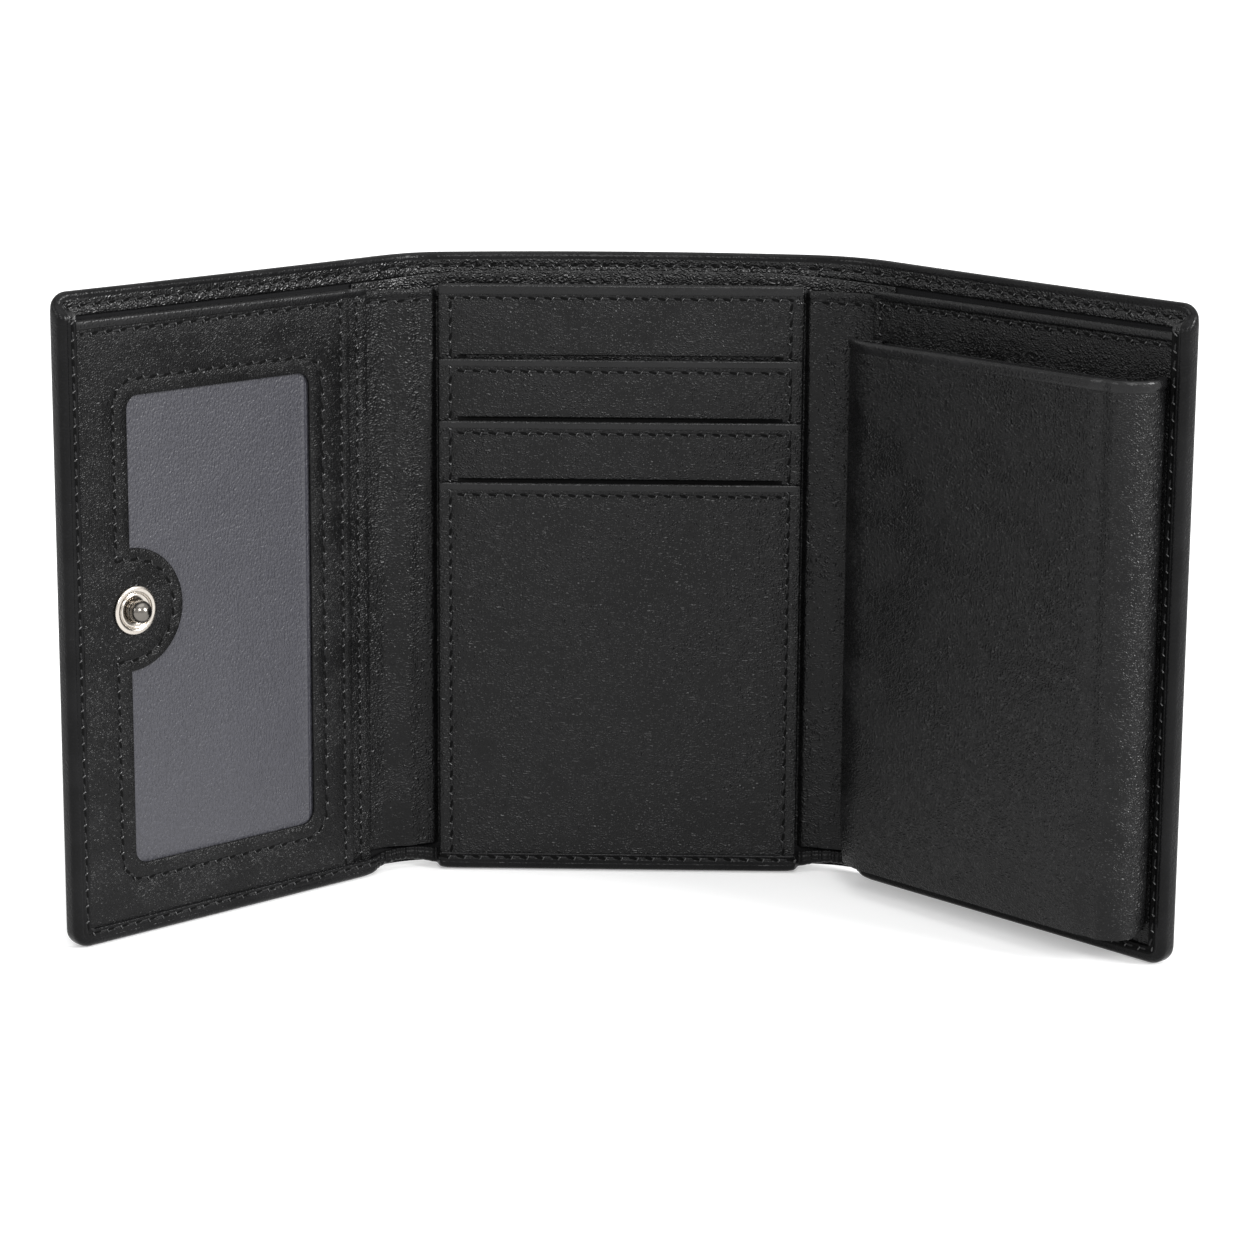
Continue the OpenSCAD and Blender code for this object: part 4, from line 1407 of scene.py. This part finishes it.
def frame_rows():
    """Stitch rows on the window frame."""
    low, high = LEFT.box("id_window_frame")
    window_low, window_high, tab, tab_radius = window_sizes()
    out, inset, radius = 2.6, 1.8, 4.2
    u1, reach = window_high[0] + out, tab_radius - inset
    left, right = window_low[0] - out + radius, u1 - radius
    foot, head = window_low[1] - out + radius, window_high[1] + out - radius
    border = [(u1, tab[1] + reach)]
    corners = ((right, head), (left, head), (left, foot), (right, foot))
    for quarter, (u, z) in enumerate(corners):
        border += arc(u, z, radius, 90 * quarter, 90 * quarter + 90)
    border += [(u1, tab[1] - reach)]
    tab_row = [(u1 - 0.6, tab[1] + reach), *arc(*tab, reach, 90, 270), (u1 - 0.6, tab[1] - reach)]
    side = low[0] + 1.7
    edge = [(side, SEAM_FOOT), (side, high[2] - 2.4)]
    top = [(side, high[2] - BAND_SEAM), (high[0] - 3.4, high[2] - BAND_SEAM)]
    return [border, tab_row, edge, top]


class WALLET_OT_id_pocket(Made):
    """Left panel with the framed window and its film"""

    bl_idname = "wallet.id_pocket"
    bl_label = "ID pocket"

    def make(self):
        top = LEFT.box("left_base")[1][2]
        inner_leather(LEFT, [[(LEFT_SEAM, SEAM_FOOT), (LEFT_SEAM, top - 1.9)]], 4.6)
        self.cover()
        self.film()

    def cover(self):
        low, high = LEFT.box("id_window_frame")
        window_low, window_high, tab, tab_radius = window_sizes()
        hole = rounded_window(window_low, window_high, 2.2, tab, tab_radius)
        loop = rectangle(low[0], high[0] - 0.9, low[2], high[2], 2.0)
        rows = [resample(line, 1.2) for line in frame_rows()]
        piece = cut_panel(
            "window_frame_leather", [loop, hole], LEFT.at_depth(low[1]), high[1] - low[1], "fine leather",
            rows, 0.22, 3.0, **band(low[0] + 0.35, high[0] - 1.3, high[2]),
        )
        ride(piece, "left_panel", "leather", "id_window_frame")

    def film(self):
        low, high = LEFT.box("id_window_film")
        crease = window_sizes()[0][0] + 0.8
        u = np.concatenate([with_margins(low[0], high[0], 2.5), crease + np.linspace(-0.45, 0.45, 7)])
        u, z = grid(np.unique(u), with_margins(low[2], high[2], 2.5))
        swell = 0.10 * np.sin(u * 0.16) * np.sin(z * 0.075 + 0.6) - 0.35 * dip(u, crease, 0.2)
        front = LEFT.place(u, low[1] + 0.05 + swell * 0.4, z)
        back = LEFT.place(u, high[1] + swell * 0.2, z)
        piece = thick_sheet("window_film", front, back, "frosted film", 0.05)
        ride(piece, "left_panel", "film", "id_window_film")


def right_rows():
    """Stitch rows on the right panel's inner leather."""
    high = RIGHT.box("right_base")[1]
    side, row = 1.4, high[2] - BAND_SEAM
    return [[(side, SEAM_FOOT), (side, high[2] - 2.6)], [(side, row), (high[0] - 3.0, row)]]


class WALLET_OT_coin_pocket(Made):
    """Right panel and its expanding coin pocket"""

    bl_idname = "wallet.coin_pocket"
    bl_label = "Coin pocket"

    LEATHER = 0.9  # thickness of the pocket's front
    DEEP = -5.9  # y behind which the side wall begins

    def make(self):
        inner_leather(RIGHT, right_rows(), RIGHT.box("right_base")[1][0] - 1.6)
        self.pouch()
        self.front_lining()
        self.back_lining()
        self.fold_gusset()
        self.floor_gusset()

    def plan_line(self):
        """Plan course of the pocket's front and side wall, from the fold side round to the panel."""
        low, high = RIGHT.box("coin_front", "coin_side_wall")
        front = RIGHT.local(node_points("coin_front"))
        edge_depth = -front[np.abs(front[:, 0] - low[0]) < 0.05][:, 1].min()
        back = RIGHT.box("right_base")[0][1]
        depth, radius = -low[1], (-low[1] + back) / 1.6
        bulge, roll = 7.5, 1.9
        end = high[0] + 0.7
        line = []
        for t in (0, 0.015, 0.04, 0.07, 0.11, 0.16, 0.21, 0.27, *np.linspace(0.36, 1, 9)):
            y = -edge_depth - (depth - edge_depth) * math.sin(math.pi / 2 * t)
            near = min(bulge * t / roll, 1)
            line.append((low[0] + bulge * t, y + roll * (1 - math.sqrt(1 - (1 - near) ** 2))))
        flat = np.linspace(low[0] + bulge + 3, end - radius - 5.5, 11)
        near_wall = np.linspace(end - radius - 4.6, end - radius - 0.4, 10)
        line += [(u, -depth) for u in np.concatenate([flat, near_wall])]
        around = np.radians(np.linspace(0, 126, 24))
        line += [(end - radius + radius * math.sin(g), radius - depth - radius * math.cos(g)) for g in around]
        line.append((line[-1][0] - 0.4, back - 0.02))
        line = np.array(line)
        return line, offset_line(line, 1.0, False) - line

    def wall(self, line, normal, inset, z, wave=0.0):
        """Upright grid over a plan course, moved along its normals."""
        u, y = line[:, 0:1] + normal[:, 0:1] * inset + wave, line[:, 1:2] + normal[:, 1:2] * inset
        return RIGHT.place(u, y, z)

    def pouch(self):
        """Front and side wall: belly, valley beside the side wall, beaded top and tucked foot."""
        low, high = RIGHT.box("coin_front", "coin_side_wall")
        line, normal = self.plan_line()
        near_top = high[2] - np.array([2.6, 2.1, 1.8, 1.6, 1.35, 1.0, 0.7, 0.45, 0.3, 0.0])
        near_foot = low[2] + np.array([0.0, 0.35, 0.6, 0.9, 1.3, 1.9])
        z = np.concatenate([near_foot, np.linspace(low[2] + 2.8, high[2] - 3.6, 28), near_top])
        up = (z - low[2]) / (high[2] - low[2])
        u, y = line[:, 0:1], line[:, 1:2]
        share = np.clip((u - low[0]) / (high[0] - low[0]), 0, 1)
        past = np.clip((y + 4.0) / 4.4, 0, 1)
        belly = 0.35 * np.sin(math.pi * share) * np.sin(np.pi * up) ** 0.8 * (1 - past)
        valley = 0.42 * dip(u, high[0] - 5.2, 1.5) * (y < -4)
        tuck = 0.55 * np.exp(-up * 26) * (1 - 0.5 * past)
        shift = belly - valley + bead(z, high[2], 1.7, 0.26) - tuck
        z = z + 1.4 * past * np.exp(-up * 12)
        front, back = self.wall(line, normal, -shift, z), self.wall(line, normal, self.LEATHER - shift, z)
        piece = thick_sheet("coin_pocket_leather", front, back, "grained leather", 0.26)
        piece.data.materials.append(finish_of("smooth leather"))
        for face in piece.data.polygons:
            if face.center.z / MM > high[2] - 1.75:
                face.material_index = 1
        self.squeeze(piece, "leather", "coin_front", "coin_side_wall")

    def squeeze(self, piece, slot, *nodes):
        """The piece lies between the pocket's front and the panel; its place is baked into its mesh and it
        stands in for these nodes. Its slot is not used.
        """
        start = RIGHT.place(30.0, self.DEEP, 50.0) * MM
        end = RIGHT.place(30.0, RIGHT.box("right_base")[0][1], 50.0) * MM
        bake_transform(piece)
        wear(piece, slot, *nodes)

    def front_lining(self):
        low, high = RIGHT.box("coin_front_lining")
        line, normal = self.plan_line()
        keep = (line[:, 0] > low[0]) & (line[:, 1] < self.DEEP)
        line, normal = line[keep], normal[keep]
        z = with_margins(low[2], high[2], 5.0)
        share = (line[:, 0:1] - low[0]) / (high[0] - low[0])
        up = (z - low[2]) / (high[2] - low[2])
        belly = 0.3 * np.sin(np.pi * np.clip(share, 0, 1)) * np.sin(np.pi * up) ** 0.8
        front, back = (self.wall(line, normal, self.LEATHER + d - belly, z) for d in (0.03, 0.23))
        piece = thick_sheet("coin_pocket_front_lining", front, back, "lining fabric", 0.05)
        ride(piece, "coin_pocket_front", "lining", "coin_front_lining")

    def back_lining(self):
        low, high = RIGHT.box("coin_back_lining")
        u, z = grid(with_margins(low[0], high[0], 6.0), with_margins(low[2], high[2], 6.0))
        puff = 0.12 * np.sin(u * 0.3) * np.sin(z * 0.11)
        front, back = RIGHT.place(u, low[1] - 0.15 + puff, z), RIGHT.place(u, high[1] - 0.02, z)
        piece = thick_sheet("coin_pocket_back_lining", front, back, "lining fabric", 0.05)
        ride(piece, "right_panel", "lining", "coin_back_lining")

    def fold_gusset(self):
        """Pleated gusset beside the fold."""
        low, high = RIGHT.box("coin_fold_gusset")
        depth = np.linspace(0, 1, 17)
        u = low[0] + 0.15 + (high[0] - low[0] - 0.6) * np.sin(np.pi * depth) ** 0.8
        line = np.stack([u, low[1] + (high[1] - low[1]) * depth], axis=1)
        normal = offset_line(line, 1.0, False) - line
        z = with_margins(low[2], high[2], 4.0)
        wave = 0.25 * np.sin(z * 0.16) * np.sin(np.pi * depth)[:, None]
        front, back = (self.wall(line, normal, inset, z, wave) for inset in (0.0, 0.55))
        piece = thick_sheet("coin_pocket_fold_gusset", front, back, "grained leather", 0.12)
        self.squeeze(piece, "leather", "coin_fold_gusset")

    def floor_gusset(self):
        """Folded floor between the pocket's front and the panel."""
        low, high = RIGHT.box("coin_floor_gusset")
        line = self.plan_line()[0]
        line = line[line[:, 1] < -3.5]
        depth = np.linspace(0, 1, 9)
        back_y = RIGHT.box("right_base")[0][1] - 0.02
        near = line[:, 1:2] + 1.05
        u, y = np.minimum(line[:, 0:1], high[0] - 1.0), near + (back_y - near) * depth
        fold = low[2] + 1.1 * np.sin(np.pi * depth) ** 1.2
        top, under = RIGHT.place(u, y, fold + 0.75), RIGHT.place(u, y, fold + 0.25)
        piece = thick_sheet("coin_pocket_floor", top, under, "grained leather", 0.1)
        self.squeeze(piece, "leather", "coin_floor_gusset")


# ---- snap ----


class WALLET_OT_snap(Made):
    """Nickel finish of the snap's stud, socket, spring and eyelets"""

    bl_idname = "wallet.snap"
    bl_label = "Snap"

    def make(self):
        self.stud()
        for name in ("snap_stud_eyelet", "snap_socket", "snap_socket_spring", "snap_socket_eyelet"):
            mesh = NODES[name].data
            mesh.materials.clear()
            mesh.materials.append(finish_of("polished nickel"))

    def profile(self, rim):
        """Radii and heights over the leather: shank, rolled rim, groove, dished step, then neck and ball."""
        line = [(0.0, -0.9), (1.4, -0.9), (1.4, -0.02), (rim - 0.15, -0.02)]
        rolled = np.radians([-60, -25, 10, 45, 75])
        line += [(rim - 0.32 + 0.32 * math.cos(g), 0.3 + 0.3 * math.sin(g)) for g in rolled]
        groove = ((0.55, 0.62), (0.85, 0.56), (0.98, 0.44), (1.02, 0.22), (1.12, 0.2))
        step = ((1.2, 0.34), (1.3, 0.46), (1.45, 0.47))
        line += [(rim - inset, height) for inset, height in groove + step]
        line += [(2.1, 0.3), (1.75, 0.22), (1.6, 0.08)]
        radius, middle = 1.85, 1.55
        ball = [(1.25, 0.0), (1.2, 0.12)]
        ball += [(radius * math.cos(g), middle + radius * math.sin(g)) for g in np.radians(range(-46, 90, 8))]
        return line, [*ball, (0.0, middle + radius)]

    def stud(self):
        """The stud turned as one smooth piece, with its ball and neck coloured darker as a painted dark
        reflection.
        """
        low, high = LEFT.box("snap_stud")
        u, z = middle_of(low, high)
        front = LEFT.box("id_window_frame")[0][1]
        line, ball = self.profile((high[2] - low[2]) / 2)
        r, h = np.array(line + ball)[:, :, None].transpose(1, 0, 2)
        around = np.linspace(0, 2 * np.pi, 64, endpoint=False)
        points = LEFT.place(u + r * np.cos(around), front - h + 0 * around, z + r * np.sin(around))
        faces = ring_faces(len(r), len(around))
        shown = [int(k >= len(line) * len(around)) for k in range(len(faces))]
        piece = new_piece("stud", points.reshape(-1, 3), faces, ["polished nickel", "smoked nickel"], shown)
        edit(piece, sew_up)
        ride(piece, "left_panel", "nickel", "snap_stud")


# ---- rows of stitches ----


class WALLET_OT_stitching(Made):
    """Rows of stitches on every panel"""

    bl_idname = "wallet.stitching"
    bl_label = "Stitching"

    def make(self):
        self.sew("card_pocket_stitching", "centre_panel", self.centre())
        self.sew("left_panel_stitching", "left_panel", self.left())
        self.sew("right_panel_stitching", "right_panel", self.right())
        for half in halves():
            bend(stitches(f"{half.name}_edge_stitching", self.shell_edge(half)), half, "leather_edge")

    def sew(self, name, body, seams):
        ride(stitches(name, seams), body, "leather_edge")

    def centre(self):
        seams = []
        for node in LAYERS:
            top, below = mouth(node), mouth_below(node)
            row = top - layer_edge(node)[1]
            reach, start = (STITCH_X - 1.6, top - 0.6) if node in POCKETS else (STITCH_X, row - 1.3)
            stop = below + 0.9 if below is not None else 3.6
            face = CENTRE.at_depth(CENTRE.box(node)[0][1], layer_relief(node))
            seams.append(Seam([(-reach, row), (reach, row)], face))
            seams += [Seam([(s * STITCH_X, start), (s * STITCH_X, stop)], face) for s in (-1, 1)]
        foot = [(-HALF_W + 0.8, EDGE_SEAM), (HALF_W - 0.8, EDGE_SEAM)]
        return [*seams, Seam(foot, CENTRE.at_depth(FOLD_PLANE))]

    def faced(self, panel, node):
        """Surface of a side panel's leather, and the height of its top."""
        low, high = panel.box(node)
        return panel.at_depth(low[1], band_relief(high[2])), high[2]

    def left(self):
        cover, _ = self.faced(LEFT, "id_window_frame")
        base, top = self.faced(LEFT, "left_base")
        seams = [Seam(line, cover) for line in frame_rows()]
        seams.append(Seam([(LEFT_SEAM, SEAM_FOOT), (LEFT_SEAM, top - 2.4)], base))
        seams.append(Seam([(0.4, top - BAND_SEAM), (3.9, top - BAND_SEAM)], base))
        return [*seams, self.hem(LEFT)]

    def right(self):
        base, _ = self.faced(RIGHT, "right_base")
        return [*(Seam(line, base) for line in right_rows()), self.hem(RIGHT)]

    def hem(self, panel):
        """Row in the turned edge along the foot and up the free edge."""
        end = panel.box(f"{panel.name}_shell")[1][0] - EDGE_SEAM
        corner = arc(end - 1, EDGE_SEAM + 1, 1, -90, 0, 15)
        return Seam([(0.6, EDGE_SEAM), *corner, (end, INNER_H - 1.0)], panel.at_depth(0.0))

    def shell_edge(self, half):
        """Rows in the shell's top edge, on its back, and along the top of the fold leather."""
        row = SHELL_H - TOP_SEAM
        facing = Seam([(0.0, row), (half.length - 3.0, row)], lambda a, z, d: half.point(a, d - FACING_T, z))
        top = CENTRE.box(f"{half.name}_spine_inner")[1][2] - FOLD_SEAM
        fold = Seam([(HALF_W + 0.5, top), (half.fold_end - 0.3, top)], inner_fold_surface(half))
        end, radius = half.length - EDGE_SEAM, 1.5
        back = [(0.0, EDGE_SEAM), *arc(end - radius, EDGE_SEAM + radius, radius, -90, 0)]
        back += [*arc(end - radius, row - radius, radius, 0, 90), (0.0, row)]

        def outside(a, z, d):
            return half.point(a, SHELL_BACK + fold_creases(half, a, z) - d, z + half.foot_lift(a, z))

        return [facing, fold, Seam(back, outside, -1)]


# ---- stage ----


class WALLET_OT_stage(Made):
    """Pale floor, soft light and the camera"""

    bl_idname = "wallet.stage"
    bl_label = "Stage"

    # Each lamp: its name, the place it shines from, its width in degrees and its strength.
    LAMPS = (
        ("key light", (0.90, -0.42, 0.45), 20, 3.8),
        ("front light", (0.05, -0.85, 0.55), 20, 1.5),
        ("left light", (-0.85, -0.45, 0.45), 22, 0.9),
        ("top light", (0.05, -0.05, 1.00), 60, 1.2),
    )
    FLOOR_REACH = 3.0
    FLOOR_Z = -0.0002
    FLOOR_GLOW = 0.31
    ROOM_LIGHT = 0.35  # the white world, as it lights rough surfaces
    CAMERA_PLACE = (0.00863, -0.58242, 0.18142)
    DOWN, ASIDE, ROLL = 12.087, -0.999, 0.341  # the camera's angles in degrees
    LENS, SENSOR = 101.64, 36.0
    SHIFT = (0.0133, -0.0663)

    def make(self):
        self.floor()
        self.room()
        for lamp in self.LAMPS:
            self.lamp(*lamp)
        self.camera()

    def seen(self, shader):
        """1 for what the camera sees straight or in a mirror, 0 for light on rough surfaces."""
        rays = shader.add("ShaderNodeLightPath")
        return rays["Is Camera Ray"].at_least(rays["Is Glossy Ray"]).at_least(rays["Is Transmission Ray"])

    def floor(self):
        mesh = bpy.data.meshes.new("floor")
        r = self.FLOOR_REACH
        mesh.from_pydata([(-r, -r, 0), (r, -r, 0), (r, r, 0), (-r, r, 0)], [], [(0, 1, 2, 3)])
        s = new_shader("pale floor")
        seen = self.seen(s)
        matte = s.add("ShaderNodeBsdfDiffuse", None, {"Color": (0.80, 0.80, 0.80, 1)})["BSDF"]
        glow = s.add("ShaderNodeEmission", None, {"Color": WHITE, "Strength": self.FLOOR_GLOW})["Emission"]
        lit = s.add("ShaderNodeAddShader", None, {0: matte, 1: glow})["Shader"]
        surface = s.add("ShaderNodeMixShader", None, {0: seen, 1: matte, 2: lit})["Shader"]
        s.add("ShaderNodeOutputMaterial", None, {"Surface": surface})
        mesh.materials.append(s.owner)
        floor = link("floor", mesh)
        floor.location.z = self.FLOOR_Z

    def room(self):
        """White world that lights rough surfaces less than it shows."""
        world = bpy.context.scene.world = bpy.data.worlds.new("studio")
        s = Shader(world)
        seen = self.seen(s)
        dim, white = (
            s.add("ShaderNodeBackground", None, {"Color": WHITE, "Strength": strength})["Background"]
            for strength in (self.ROOM_LIGHT, 1.0)
        )
        surface = s.add("ShaderNodeMixShader", None, {0: seen, 1: dim, 2: white})["Shader"]
        s.add("ShaderNodeOutputWorld", None, {"Surface": surface})

    def lamp(self, name, place, spread, power):
        data = bpy.data.lights.new(name, "SUN")
        data.angle = math.radians(spread)
        data.energy = power
        lamp = link(name, data)
        lamp.location = place
        lamp.rotation_euler = (-Vector(place)).to_track_quat("-Z", "Y").to_euler()

    def camera(self):
        data = bpy.data.cameras.new("camera")
        data.sensor_width = self.SENSOR
        data.lens = self.LENS
        data.shift_x, data.shift_y = self.SHIFT
        data.clip_start, data.clip_end = 0.01, 20.0
        down, aside, roll = (math.radians(angle) for angle in (self.DOWN, self.ASIDE, self.ROLL))
        forward = Vector(
            (math.sin(aside) * math.cos(down), math.cos(aside) * math.cos(down), -math.sin(down))
        )
        across = Vector((math.cos(aside), -math.sin(aside), 0))
        up = across.cross(forward)
        right = across * math.cos(roll) + up * math.sin(roll)
        top = up * math.cos(roll) - across * math.sin(roll)
        camera = link("camera", data)
        turned_to = Matrix((right, top, -forward)).transposed()
        camera.matrix_world = Matrix.Translation(self.CAMERA_PLACE) @ turned_to.to_4x4()
        bpy.context.scene.camera = camera
        bpy.context.scene.view_settings.view_transform = "Standard"


STEPS = (
    WALLET_OT_outer_leather,
    WALLET_OT_compartment,
    WALLET_OT_fold_leather,
    WALLET_OT_card_pockets,
    WALLET_OT_id_pocket,
    WALLET_OT_coin_pocket,
    WALLET_OT_snap,
    WALLET_OT_stitching,
    WALLET_OT_stage,
)


class WALLET_PT_panel(bpy.types.Panel):
    """The wallet's sizes, colours and steps"""

    bl_idname = "WALLET_PT_panel"
    bl_label = "Trifold wallet"
    bl_space_type = "VIEW_3D"
    bl_region_type = "UI"
    bl_category = "Wallet"

    def draw(self, context):
        for group in (context.scene.wallet_sizes, context.scene.wallet_colours):
            column = self.layout.column(align=True)
            for name in group.bl_rna.properties.keys():
                if name not in ("rna_type", "name"):
                    column.prop(group, name)
        for step in STEPS:
            self.layout.operator(step.bl_idname)


CLASSES = (WalletSizes, WalletColours, *STEPS, WALLET_PT_panel)


def register():
    for cls in CLASSES:
        bpy.utils.register_class(cls)
    bpy.types.Scene.wallet_sizes = PointerProperty(type=WalletSizes)
    bpy.types.Scene.wallet_colours = PointerProperty(type=WalletColours)


def unregister():
    del bpy.types.Scene.wallet_sizes
    del bpy.types.Scene.wallet_colours
    for cls in reversed(CLASSES):
        bpy.utils.unregister_class(cls)


def main():
    register()
    for step in STEPS:
        family, name = step.bl_idname.split(".")
        getattr(getattr(bpy.ops, family), name)()


if __name__ == "__main__":
    main()
